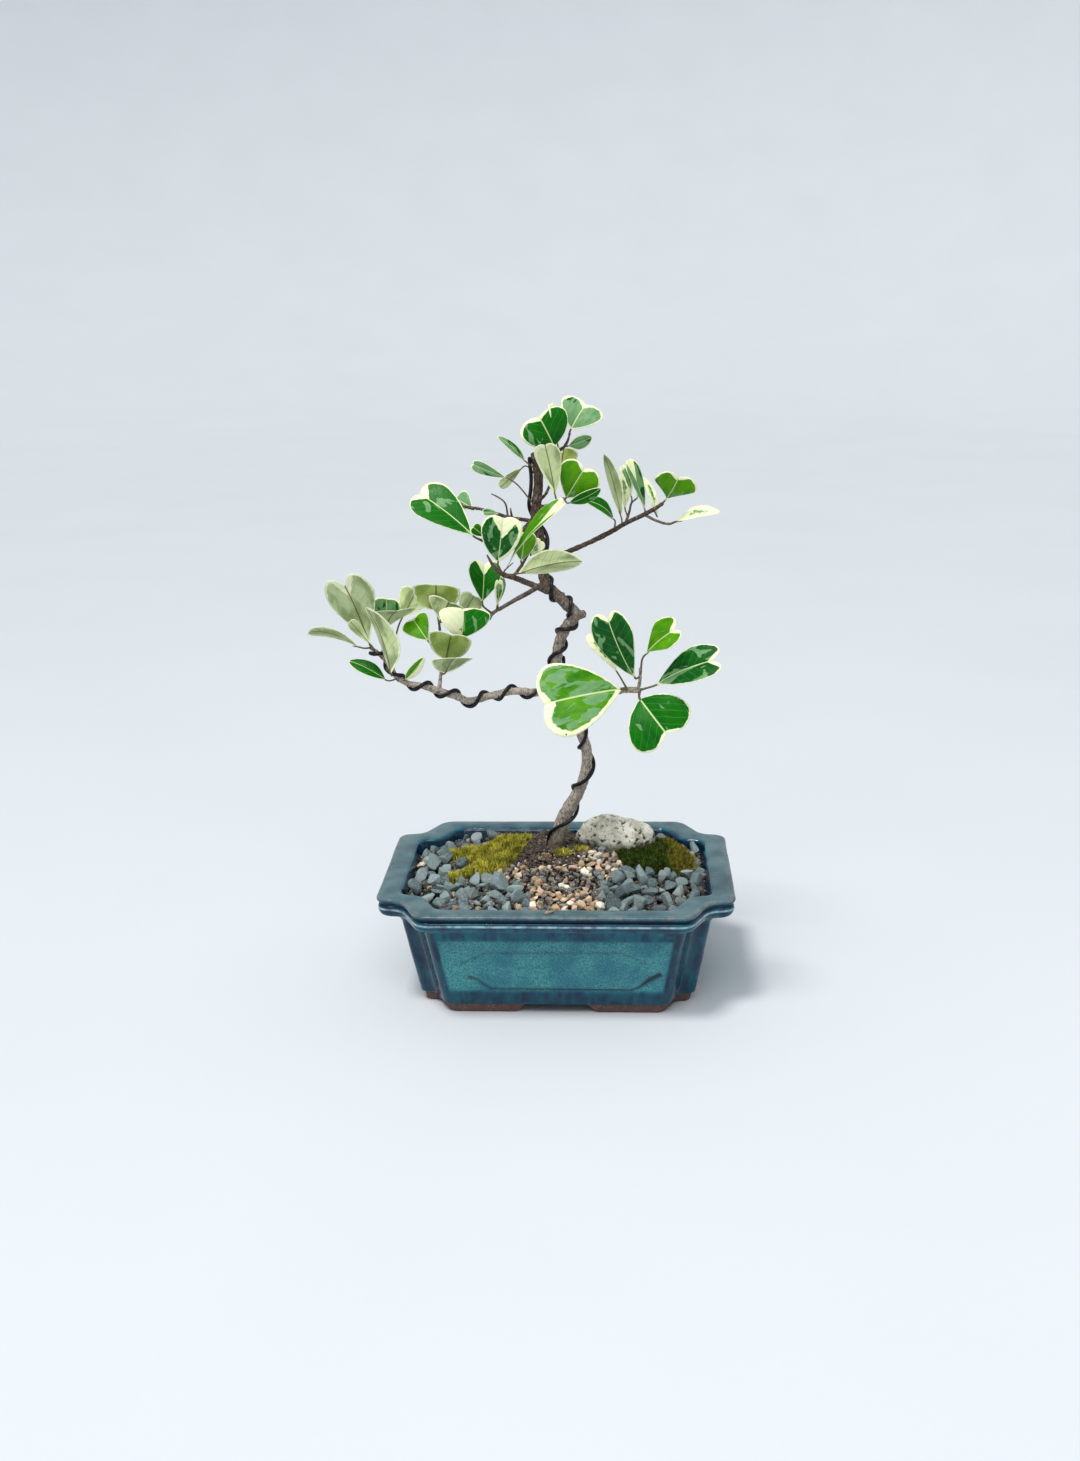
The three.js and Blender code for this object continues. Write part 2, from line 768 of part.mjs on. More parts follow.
// A band under the body's edge, cut by an arch in the middle of each side
function feetShape() {
  const overlap = 1;
  const top = FOOT_HEIGHT + overlap;
  const outerInset = BODY_FOOT_INSET + FOOT_INSET;
  const block = solid(
    skin(
      [outerRing(outerInset + FOOT_TAPER, 0), outerRing(outerInset, top)],
      new THREE.Vector3(0, 0, 0),
      new THREE.Vector3(0, 0, top),
    ),
  );
  const hollow = solid(
    skin(
      [outerRing(BODY_FOOT_INSET + FOOT_BAND, -1), outerRing(BODY_FOOT_INSET + FOOT_BAND + 1, FOOT_HEIGHT)],
      new THREE.Vector3(0, 0, -1),
      new THREE.Vector3(0, 0, FOOT_HEIGHT),
    ),
  );
  const longArch = solid(archPrism(FOOT_ARCH_LONG, 2 * RIM_HALF_Y));
  const shortArch = solid(archPrism(FOOT_ARCH_SHORT, 2 * RIM_HALF_X).rotateZ(Math.PI / 2));
  return block.subtract(hollow).subtract(longArch).subtract(shortArch);
}

// A low arch with sloping ends, running along Y
function archPrism(halfWidth, length) {
  const shape = new THREE.Shape();
  shape.moveTo(-halfWidth - 4, -1);
  shape.lineTo(halfWidth + 4, -1);
  shape.lineTo(halfWidth + 3, 1.2);
  shape.quadraticCurveTo(halfWidth, FOOT_HEIGHT - 0.4, halfWidth - 3, FOOT_HEIGHT);
  shape.lineTo(3 - halfWidth, FOOT_HEIGHT);
  shape.quadraticCurveTo(-halfWidth, FOOT_HEIGHT - 0.4, -halfWidth - 3, 1.2);
  const prism = new THREE.ExtrudeGeometry(shape, { depth: length, bevelEnabled: false, curveSegments: 3 });
  return prism.translate(0, 0, -length / 2).rotateX(Math.PI / 2);
}

function screenShape(x) {
  const z = FLOOR_TOP_Z + GAP + SCREEN_THICKNESS / 2;
  let plate = solid(new THREE.BoxGeometry(SCREEN_SIDE, SCREEN_SIDE, SCREEN_THICKNESS).translate(x, 0, z));
  for (const i of [-1, 0, 1]) {
    for (const j of [-1, 0, 1]) {
      const opening = new THREE.BoxGeometry(SCREEN_OPENING, SCREEN_OPENING, 4 * SCREEN_THICKNESS);
      plate = plate.subtract(solid(opening.translate(x + i * SCREEN_PITCH, j * SCREEN_PITCH, z)));
    }
  }
  return plate;
}

// Room for a screen in the soil above it
function screenRoom(x) {
  const side = SCREEN_SIDE + 2 * GAP;
  const top = FLOOR_TOP_Z + SCREEN_THICKNESS + 2 * GAP;
  return solid(new THREE.BoxGeometry(side, side, 2 * top).translate(x, 0, 0));
}

function dressingHeight(x, y) {
  const reach = ((x - MOUND_X) ** 2 + (y - MOUND_Y) ** 2) / (2 * MOUND_SPREAD ** 2);
  return GRAVEL_EDGE_Z + MOUND_HEIGHT * Math.exp(-reach);
}

// Rings over a surface, from the wall's outline in to the middle
function surfaceRings(outline, height) {
  return Array.from({ length: BED_RINGS }, (_, i) => {
    const share = 1 - i / BED_RINGS;
    const scaled = outline.map((p) => p.clone().multiplyScalar(share));
    return scaled.map((p) => new THREE.Vector3(p.x, p.y, height(p.x, p.y)));
  });
}

// Wall outline for what fills the pot, clear of the wall down to the given height
function fillOutline(z) {
  const half = innerHalf(z);
  return potOutline(half.x - GAP, half.y - GAP, half.notch);
}

function bedLowZ() {
  return GRAVEL_EDGE_Z - DRESSING_DEPTH;
}

// A solid from a flat underside up to a surface
function column(outline, undersideZ, height) {
  const underside = outline.map((p) => new THREE.Vector3(p.x, p.y, undersideZ));
  const rings = [underside, ...surfaceRings(outline, height)];
  return solid(
    skin(rings, new THREE.Vector3(0, 0, undersideZ), new THREE.Vector3(0, 0, height(0, 0))),
  );
}

function soilHeight(x, y) {
  return dressingHeight(x, y) - DRESSING_DEPTH;
}

function soilShape() {
  const wall = (z) => fillOutline(z).map((p) => new THREE.Vector3(p.x, p.y, z));
  const floor = FLOOR_TOP_Z + GAP;
  const rings = [wall(floor), wall(BODY_TOP_Z), ...surfaceRings(fillOutline(bedLowZ()), soilHeight)];
  const block = solid(
    skin(rings, new THREE.Vector3(0, 0, floor), new THREE.Vector3(0, 0, soilHeight(0, 0))),
  );
  return block.subtract(screenRoom(-DRAIN_X)).subtract(screenRoom(DRAIN_X));
}

// A layer on the soil, up to the dressing's height plus a rise
function bedShape(rise) {
  const outline = fillOutline(bedLowZ());
  const full = column(outline, BODY_TOP_Z, (x, y) => dressingHeight(x, y) + rise);
  return full.subtract(column(outline, BODY_TOP_Z, (x, y) => soilHeight(x, y) + GAP));
}

// An outline moved outwards by a distance
function grown(outline, distance) {
  const points = outline.map(([x, y]) => new THREE.Vector2(x, y));
  const side = Math.sign(THREE.ShapeUtils.area(points));
  return points.map((p, i) => {
    const before = p.clone().sub(points.at(i - 1)).normalize();
    const after = points[(i + 1) % points.length].clone().sub(p).normalize();
    const along = before.add(after).normalize();
    return p.clone().add(new THREE.Vector2(along.y, -along.x).multiplyScalar(side * distance));
  });
}

function areaPrism(outline, margin) {
  const shape = new THREE.Shape(grown(outline, margin));
  const prism = new THREE.ExtrudeGeometry(shape, { depth: POT_HEIGHT, bevelEnabled: false });
  return solid(prism.translate(0, 0, bedLowZ() - 5));
}

// The stone: a lumpy rounded block with a flat foot
function stoneShape(margin) {
  const lump = new THREE.IcosahedronGeometry(1, 3);
  const position = lump.attributes.position;
  const point = new THREE.Vector3();
  for (let i = 0; i < position.count; i++) {
    point.fromBufferAttribute(position, i);
    const wave = 0.07 * Math.sin(4 * point.x + 1) * Math.cos(3 * point.z);
    const swell = 1 + wave + 0.05 * Math.sin(5 * point.y + 2);
    const shoulder = point.z > 0 ? 1 - 0.18 * Math.max(0, point.x) : 1;
    point.multiply(STONE_HALF_SIZE.clone().addScalar(margin)).multiplyScalar(swell);
    point.z *= shoulder;
    position.setXYZ(i, point.x, point.y, point.z);
  }
  const rock = solid(lump.translate(STONE_CENTRE.x, STONE_CENTRE.y, STONE_CENTRE.z));
  const under = new THREE.BoxGeometry(80, 80, 60).translate(25, 30, STONE_BASE_Z - margin - 30);
  return rock.subtract(solid(under));
}

// A round limb or wire through points, each with its radius
function tube(points, radii, sides, margin) {
  const rings = [];
  let across = new THREE.Vector3(0.31, -0.9, 0.3);
  const along = points.map((p, i) => {
    const from = points[Math.max(0, i - 1)];
    const to = points[Math.min(points.length - 1, i + 1)];
    return to.clone().sub(from).normalize();
  });
  points.forEach((p, i) => {
    across = across.clone().addScaledVector(along[i], -across.dot(along[i])).normalize();
    const beside = along[i].clone().cross(across);
    rings.push(
      Array.from({ length: sides }, (_, k) => {
        const angle = (2 * Math.PI * k) / sides;
        const reach = radii[i] + margin;
        return p
          .clone()
          .addScaledVector(across, Math.cos(angle) * reach)
          .addScaledVector(beside, Math.sin(angle) * reach);
      }),
    );
  });
  const last = points.length - 1;
  const firstPole = points[0].clone().addScaledVector(along[0], -0.5 * radii[0] - margin);
  const lastPole = points[last].clone().addScaledVector(along[last], 0.5 * radii[last] + margin);
  return solid(skin(rings, firstPole, lastPole));
}

function limbCurve(limb) {
  return new THREE.CatmullRomCurve3(limb.points.map(([column, row, depth]) => seen(column, row, depth)));
}

// Value at a share of the way along a list, straight between its entries
function between(values, share) {
  const place = THREE.MathUtils.clamp(share, 0, 1) * (values.length - 1);
  const index = Math.min(Math.floor(place), values.length - 2);
  return THREE.MathUtils.lerp(values[index], values[index + 1], place - index);
}

function limbTube(limb, margin) {
  const curve = limbCurve(limb);
  const count = Math.max(2, Math.round(curve.getLength() / limb.step));
  const shares = Array.from({ length: count + 1 }, (_, i) => i / count);
  const radii = limb.points.map((point) => point[3]);
  return tube(
    shares.map((share) => curve.getPoint(share)),
    shares.map((share) => between(radii, share)),
    limb.sides,
    margin,
  );
}

function rootTube(root, margin) {
  const foot = seen(...LIMBS.trunk.points[0]);
  const angle = THREE.MathUtils.degToRad(root.heading);
  const stations = [0, 0.25, 0.5, 0.75, 1];
  const points = stations.map((share) => {
    const reach = root.length * share;
    const drop = root.drop * share ** 0.7;
    return new THREE.Vector3(Math.cos(angle) * reach, Math.sin(angle) * reach, 1 - drop).add(foot);
  });
  const radii = stations.map((share) => ROOT_RADIUS * (1 - 0.75 * share));
  return tube(points, radii, 5, margin);
}

function woodShape(margin) {
  const limbs = Object.values(LIMBS).map((limb) => limbTube(limb, margin));
  const roots = ROOTS.map((root) => rootTube(root, margin));
  return wasm.Manifold.union([...limbs, ...roots]);
}

// Share of the way along a limb at a column (index 0) or a row (index 1) of the view
function shareAt(limb, index, value) {
  const stops = limb.points.map((point) => point[index]);
  for (let i = 0; i + 1 < stops.length; i++) {
    const [high, low] = [stops[i], stops[i + 1]];
    if (value <= high && value >= low) return (i + (high - value) / (high - low)) / (stops.length - 1);
  }
  return value > stops[0] ? 0 : 1;
}

// Points of a wire wound on a limb through its stations
function wound(limb, index, stations) {
  const curve = limbCurve(limb);
  const radii = limb.points.map((point) => point[3]);
  const points = [];
  for (let i = 0; i + 1 < stations.length; i++) {
    const [fromPlace, fromTurn] = stations[i];
    const [toPlace, toTurn] = stations[i + 1];
    const shareSpan = Math.abs(shareAt(limb, index, toPlace) - shareAt(limb, index, fromPlace));
    const lengthRound = Math.abs(toTurn - fromTurn) * 2 * Math.PI * WIRE_COIL_RADIUS;
    const count = Math.max(1, Math.round(Math.hypot(curve.getLength() * shareSpan, lengthRound) / WIRE_STEP));
    for (let k = 0; k < count; k++) {
      const share = shareAt(limb, index, THREE.MathUtils.lerp(fromPlace, toPlace, k / count));
      const angle = 2 * Math.PI * THREE.MathUtils.lerp(fromTurn, toTurn, k / count);
      const along = curve.getTangent(share);
      const front = viewForward.clone().negate();
      front.addScaledVector(along, -front.dot(along)).normalize();
      const side = along.clone().cross(front);
      const reach = between(radii, share) + WIRE_RADIUS + WIRE_CLEARANCE;
      points.push(
        curve
          .getPoint(share)
          .addScaledVector(front, Math.cos(angle) * reach)
          .addScaledVector(side, Math.sin(angle) * reach),
      );
    }
  }
  return points;
}

function wireTube(points, margin) {
  return tube(points, points.map(() => WIRE_RADIUS), WIRE_SIDES, margin);
}

function trunkWirePoints() {
  const coil = wound(LIMBS.trunk, 1, TRUNK_WIRE_TURNS);
  const entry = coil[0];
  const buried = WIRE_BURIED_DEPTHS.map((depth) => entry.clone().addScaledVector(WIRE_BURIED_LEAN, depth));
  return [...buried, ...coil];
}

function branchWirePoints() {
  return [
    ...wound(LIMBS.trunk, 1, BRANCH_WIRE_ON_TRUNK),
    ...wound(LIMBS.lowerLeft, 0, BRANCH_WIRE_TURNS),
  ];
}

function flatCurve(...points) {
  return new THREE.CubicBezierCurve(...points.map(([x, y]) => new THREE.Vector2(x, y)));
}

// Half outline of a blade of length 1: a wedge that rounds over to a lobe beside the notch, or a pointed oval
function halfOutline({ lobe = PLAIN_LOBE, fullness = 0 }) {
  if (lobe < 0) {
    return [
      flatCurve([0, 0], [0.3, 0.1], [1, 0.25], [1, 0.5]),
      flatCurve([1, 0.5], [1, 0.8], [0.35, 0.98], [0, 1]),
    ];
  }
  const rise = lobe - 0.07;
  const low = [0.14 + 0.5 * fullness, 0.08 - 0.04 * fullness];
  const high = [0.88 + 0.12 * fullness, 0.44 - 0.2 * fullness];
  return [
    flatCurve([0, 0], low, high, [1, 0.78]),
    flatCurve([1, 0.78], [1.04, 0.99 + 0.6 * rise], [0.5, 1.15 + 1.6 * rise], [0, 1]),
  ];
}

function midribPlace(share) {
  return 0.8 * share + 0.2 * share ** 3;
}

// Axes of a leaf: along the midrib, across it, and out of the upper side
function leafAxes(leaf, base, tip) {
  const along = tip.clone().sub(base).normalize();
  const out = viewForward.clone().negate();
  out.addScaledVector(along, -out.dot(along)).normalize();
  out.applyAxisAngle(along, THREE.MathUtils.degToRad(leaf.face ?? 0));
  return { along, out, across: along.clone().cross(out) };
}

function bladeShape(leaf, base, tip, axes) {
  const length = base.distanceTo(tip);
  const fold = THREE.MathUtils.degToRad(leaf.fold);
  const columns = leaf.width > BROAD_LEAF_WIDTH ? [-1, -0.5, 0, 0.5, 1] : [-1, 0, 1];
  const [wedge, shoulder] = halfOutline(leaf);
  const place = (share, column, side) => {
    const edge = share < 0.5 ? wedge.getPoint(2 * share) : shoulder.getPoint(2 * share - 1);
    const x = column * edge.x * (leaf.width / 2);
    const y = length * THREE.MathUtils.lerp(midribPlace(share), edge.y, Math.abs(column));
    const flare = 0.12 * Math.abs(x) * Math.abs(column);
    const arch = (leaf.arch ?? PLAIN_ARCH) * y * (1 - y / length);
    const z = Math.abs(x) * Math.sin(fold) - flare + arch + (side * LEAF_THICKNESS) / 2;
    return base
      .clone()
      .addScaledVector(axes.across, x * Math.cos(fold))
      .addScaledVector(axes.along, y)
      .addScaledVector(axes.out, z);
  };
  const shares = Array.from({ length: BLADE_ROWS - 1 }, (_, i) => (i + 1) / BLADE_ROWS);
  const face = (side) => shares.map((share) => columns.map((column) => place(share, column, side)));
  return closedBlade([face(1), face(-1)], [place(0, 0, 1), place(0, 0, -1)], [place(1, 0, 1), place(1, 0, -1)]);
}

// Upper and under faces joined by the margin; the first and last rows shrink to a point each
function closedBlade([upper, under], bases, tips) {
  const vertices = [];
  const triangles = [];
  const add = (point) => vertices.push(point.x, point.y, point.z) / 3 - 1;
  const rows = [upper, under].map((face, side) => [
    new Array(face[0].length).fill(add(bases[side])),
    ...face.map((row) => row.map(add)),
    new Array(face[0].length).fill(add(tips[side])),
  ]);
  const quad = (a, b, c, d) => {
    if (a !== b && b !== c && a !== c) triangles.push(a, b, c);
    if (a !== c && c !== d && a !== d) triangles.push(a, c, d);
  };
  const [top, bottom] = rows;
  const last = upper[0].length - 1;
  for (let i = 0; i + 1 < top.length; i++) {
    for (let j = 0; j < last; j++) {
      quad(top[i][j], top[i][j + 1], top[i + 1][j + 1], top[i + 1][j]);
      quad(bottom[i][j], bottom[i + 1][j], bottom[i + 1][j + 1], bottom[i][j + 1]);
    }
    quad(top[i][last], bottom[i][last], bottom[i + 1][last], top[i + 1][last]);
    quad(top[i][0], top[i + 1][0], bottom[i + 1][0], bottom[i][0]);
  }
  const geometry = new THREE.BufferGeometry();
  geometry.setAttribute("position", new THREE.Float32BufferAttribute(vertices, 3));
  geometry.setIndex(triangles);
  return solid(geometry);
}

// Point on a limb's middle line that lies nearest to a target
function nearestOnLimb(limb, target) {
  const samples = limbCurve(limb).getPoints(120);
  return samples.reduce((best, p) => (p.distanceTo(target) < best.distanceTo(target) ? p : best));
}

function stalkShape(leaf, base, tip, axes) {
  const target = leaf.root ? seen(...leaf.root, leaf.base[2]) : base;
  const root = nearestOnLimb(LIMBS[leaf.limb], target);
  const reach = root.distanceTo(base);
  const into = 0.14 * base.distanceTo(tip);
  const curve = new THREE.CubicBezierCurve3(
    root,
    root.clone().lerp(base, 0.4),
    base.clone().addScaledVector(axes.along, -0.35 * reach),
    base,
  );
  const end = base.clone().addScaledVector(axes.along, into).addScaledVector(axes.out, 0.1 * into);
  const points = [...curve.getPoints(2), end];
  const radii = [STALK_RADIUS, STALK_RADIUS, STALK_RADIUS, 0.4 * STALK_RADIUS];
  return tube(points, radii, STALK_SIDES, 0);
}

function leafShape(leaf) {
  const base = seen(...leaf.base);
  const tip = seen(...leaf.tip);
  const axes = leafAxes(leaf, base, tip);
  return bladeShape(leaf, base, tip, axes).add(stalkShape(leaf, base, tip, axes));
}

// The assembly
const part = new THREE.Group();

function put(name, shape, colour) {
  const mesh = new THREE.Mesh(geometryOf(shape), new THREE.MeshStandardMaterial({ ...colour, metalness: 0 }));
  mesh.name = name;
  part.add(mesh);
}

const trunkWire = trunkWirePoints();
const branchWire = branchWirePoints();
const wireRoom = wireTube(trunkWire, GAP).add(wireTube(branchWire, GAP));
const woodRoom = woodShape(GAP);
const plantRoom = woodRoom.add(wireRoom);
const stoneRoom = stoneShape(GAP);

put("pot", potShape(), COLOURS.glaze);
put("drain_screen_left", screenShape(-DRAIN_X), COLOURS.blackPlastic);
put("drain_screen_right", screenShape(DRAIN_X), COLOURS.blackPlastic);
put("soil", largestBody(soilShape().subtract(plantRoom).subtract(stoneRoom)), COLOURS.soil);

const fill = bedShape(0).subtract(plantRoom).subtract(stoneRoom);
const mossFill = bedShape(MOSS_RISE).subtract(plantRoom).subtract(stoneRoom);
let taken = areaPrism(MOSS_LEFT_OUTLINE, AREA_GAP).add(areaPrism(MOSS_RIGHT_OUTLINE, AREA_GAP));
put("moss_left", largestBody(mossFill.intersect(areaPrism(MOSS_LEFT_OUTLINE, 0))), COLOURS.moss);
put("moss_right", largestBody(mossFill.intersect(areaPrism(MOSS_RIGHT_OUTLINE, 0))), COLOURS.moss);
for (const [name, outline, colour] of [
  ["bark_mulch", BARK_OUTLINE, COLOURS.barkMulch],
  ["coarse_gravel_left", COARSE_LEFT_OUTLINE, COLOURS.greyGravel],
  ["coarse_gravel_right", COARSE_RIGHT_OUTLINE, COLOURS.greyGravel],
]) {
  put(name, largestBody(fill.intersect(areaPrism(outline, 0)).subtract(taken)), colour);
  taken = taken.add(areaPrism(outline, AREA_GAP));
}
put("fine_gravel", largestBody(fill.subtract(taken)), COLOURS.fineGravel);
put("stone", stoneShape(0), COLOURS.stone);

put("trunk_and_branches", largestBody(woodShape(0).subtract(wireRoom)), COLOURS.bark);
put("trunk_wire", wireTube(trunkWire, 0), COLOURS.blackWire);
put("branch_wire", wireTube(branchWire, 0), COLOURS.blackWire);

LEAVES.forEach((leaf, index) => {
  const name = `leaf_${String(index + 1).padStart(2, "0")}`;
  put(name, largestBody(leafShape(leaf).subtract(plantRoom)), COLOURS.leaf);
});

// The origin: under the middle of the whole part, at the height of the feet
const middle = new THREE.Box3().setFromObject(part, true).getCenter(new THREE.Vector3());
part.position.set(-middle.x, -middle.y, 0);

export default part;
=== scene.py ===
import math

import bmesh
import bpy
import numpy as np
from mathutils import Matrix, Vector, noise

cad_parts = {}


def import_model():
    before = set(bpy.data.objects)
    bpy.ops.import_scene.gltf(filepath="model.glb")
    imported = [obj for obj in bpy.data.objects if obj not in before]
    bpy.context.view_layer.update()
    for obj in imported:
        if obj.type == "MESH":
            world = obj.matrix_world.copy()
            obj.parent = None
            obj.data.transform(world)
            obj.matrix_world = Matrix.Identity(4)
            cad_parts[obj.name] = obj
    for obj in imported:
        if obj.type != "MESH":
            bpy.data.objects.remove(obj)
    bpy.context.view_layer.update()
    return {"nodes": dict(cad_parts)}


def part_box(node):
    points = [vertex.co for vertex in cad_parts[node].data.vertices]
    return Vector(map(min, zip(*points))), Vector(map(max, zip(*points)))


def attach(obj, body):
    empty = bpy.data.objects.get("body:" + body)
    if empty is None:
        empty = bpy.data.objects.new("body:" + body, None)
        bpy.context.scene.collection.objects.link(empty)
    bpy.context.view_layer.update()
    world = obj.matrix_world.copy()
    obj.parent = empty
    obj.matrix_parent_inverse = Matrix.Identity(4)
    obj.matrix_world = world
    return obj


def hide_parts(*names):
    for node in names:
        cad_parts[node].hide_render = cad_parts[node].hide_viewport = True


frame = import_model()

MM = 0.001
pot_low, pot_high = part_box("pot")
POT_MIDDLE = (np.array(pot_low) + np.array(pot_high)) / 2 * np.array([1, 1, 0])

# Pot
POT_HEIGHT = 53.0
RIM_HALF = np.array([76.0, 54.5])
RIM_WIDTH = np.array([9.5, 8.0])
LIP_INSET = 1.5
BODY_TOP_Z = 40.5
BODY_TOP_INSET = 10.0
BODY_FOOT_INSET = 16.0
WALL = 5.0
FLOOR_TOP_Z = 9.0
FOOT_HEIGHT = 4.5
FOOT_BAND = 9.0
FOOT_INSET = 1.4
FOOT_ARCH = {"long": 15.0, "short": 11.0}
NOTCH = np.array([19.5, 17.5])
NOTCH_BEND = np.array([0.57, 0.92])
RIM_INNER_NOTCH = 0.9
BODY_NOTCH = 0.64
CORNER_ROUNDING = 5.0
DRAIN_RADIUS = 6.0
DRAIN_X = 32.0
DRAIN_SIDES = 48

# Incised lines on the long sides: place along the side and height
LOWER_LINE = [
    (-36.5, 18.6), (-33.5, 17.4), (-30.5, 14.8), (-28.0, 12.7), (32.0, 12.3),
    (36.0, 14.2), (39.5, 17.6), (44.0, 20.2),
]
UPPER_LINE = [(-40.0, 25.5), (-34.0, 28.4), (-29.0, 31.0), (28.0, 31.2), (33.0, 28.8), (39.0, 25.8)]
PANEL_LOW_Z = 11.5
PANEL_HIGH_Z = 36.8
FRAME_LINE_INSET = 1.6
GLAZE_WAVE = 0.16

# The lip, from the top of the body out and up, as bends: control point, end and steps. A point is an inset
# from the rim and a height
LIP_BENDS = [
    ((8.9, 44.0), (3.4, 44.6), 10), ((1.4, 44.7), (0.9, 46.2), 6), ((0.0, 47.9), (0.9, 49.3), 8),
    ((2.1, 49.7), (1.6, 50.6), 6), ((0.1, 50.9), (0.0, 51.7), 5), ((0.0, 53.0), (LIP_INSET, 52.75), 7),
]
LIP_BEAD_Z = 48.1
LIP_EDGE_Z = 52.4

# Hollows of the lip that are darkened as pooled glaze and as painted shade: height, reach, reach of the full
# colour and its share
LIP_HOLLOWS = [(50.1, 1.5, 0.3, 1.0), (44.6, 1.3, 0.2, 0.8), (47.8, 3.0, 0.5, 0.35)]

# The rim's top: steps across it and its sag in the middle, then the bend to the inner wall as growth of the
# inner outline, height and share of the rim's own colour
RIM_STEPS = 6
RIM_SAG = 0.25
RIM_GROWTH = 0.9
RIM_INNER_BEND = [(0.45, 52.5, 0.6), (0.12, 52.0, 0.0), (0.0, 51.2, 0.0)]
INNER_WALL_LEVELS = (50.0, 48.5, 45.0, BODY_TOP_Z, 24.0, FLOOR_TOP_Z - 1)

# Soil and dressing
GRAVEL_EDGE_Z = 49.4
DRESSING_DEPTH = 3.3
MOUND_HEIGHT = 5.5
MOUND_SPREAD = 16.0
MOUND = (-1.0, 19.0)
MOSS_RISE = 2.3
MOSS_LEAFLETS = 10500
SCATTER_CANDIDATES = 30000
AREAS = {
    "moss_left": [
        (-52, 22), (-44, 27), (-36, 28), (-29, 40), (-14, 38), (-16, 26), (-20, 8), (-27, -4),
        (-34, -7), (-41, -7), (-47, -10), (-50, -5), (-43, 0), (-39, 6), (-46, 11), (-51, 16),
    ],
    "moss_right": [
        (25, 22), (34, 28), (43, 37), (50, 39), (57, 27), (61.5, 15), (61.5, 4), (58, -3),
        (53, -5), (50, 0), (46, 2), (40, 0), (34, 1), (29, 6), (26, 13),
    ],
    "bark_mulch": [
        (-30, 60), (-28, 38), (-18, 20), (-21, 6), (-12, 0), (8, 2), (9, 14), (28, 30), (46, 42), (46, 60),
    ],
    "coarse_gravel_left": [
        (-90, -70), (-10, -70), (-10, -38), (-13, -16), (-26, -5), (-36, 10), (-30, 36), (-30, 70),
        (-90, 70),
    ],
    "coarse_gravel_right": [
        (20, -70), (90, -70), (90, 70), (46.5, 70), (46.5, 36), (32, 12), (25, 0), (18, -21), (20, -38),
    ],
}

# Small tufts of moss by the trunk: place and radius
SMALL_MOSS = [(1.5, 12.0, 4.2), (9.5, 17.5, 3.0)]
TUFT_LEAFLETS = 350

# The dark litter in the fine gravel, and the grain that lies on the rim
LITTER_MIDDLE = (6, -12)
LITTER_REACH = (15, 9)
RIM_GRAIN = (-1.5, -50.2, 53.3)

# Stone beside the trunk
STONE_MIDDLE = np.array([25.5, 31.0, 52.0])
STONE_HALF = np.array([18.5, 10.5, 13.0])
STONE_BASE_Z = 49.2

# The view in which the tree was measured, and the camera of the picture
VIEW_WIDTH = 1080
VIEW_HEIGHT = 1461
VIEW_FOCAL = 1442
VIEW_EYE = np.array([28.6, -590.3, 303.0])
VIEW_TURN = math.radians(3.43)
VIEW_PITCH = math.radians(17.59)
VIEW_ROLL = math.radians(1.2)
SENSOR = 36.0

# Wires
WIRE_RADIUS = 0.8
WIRE_CLEARANCE = 0.2
WIRE_COIL_RADIUS = 3.0
WIRE_STEP = 0.55
WIRE_SMOOTHING = 12
WIRE_BURIED = 12
WIRE_BURIED_LEAN = np.array([-0.12, -0.1, -1])
WIRE_SIDES = 12

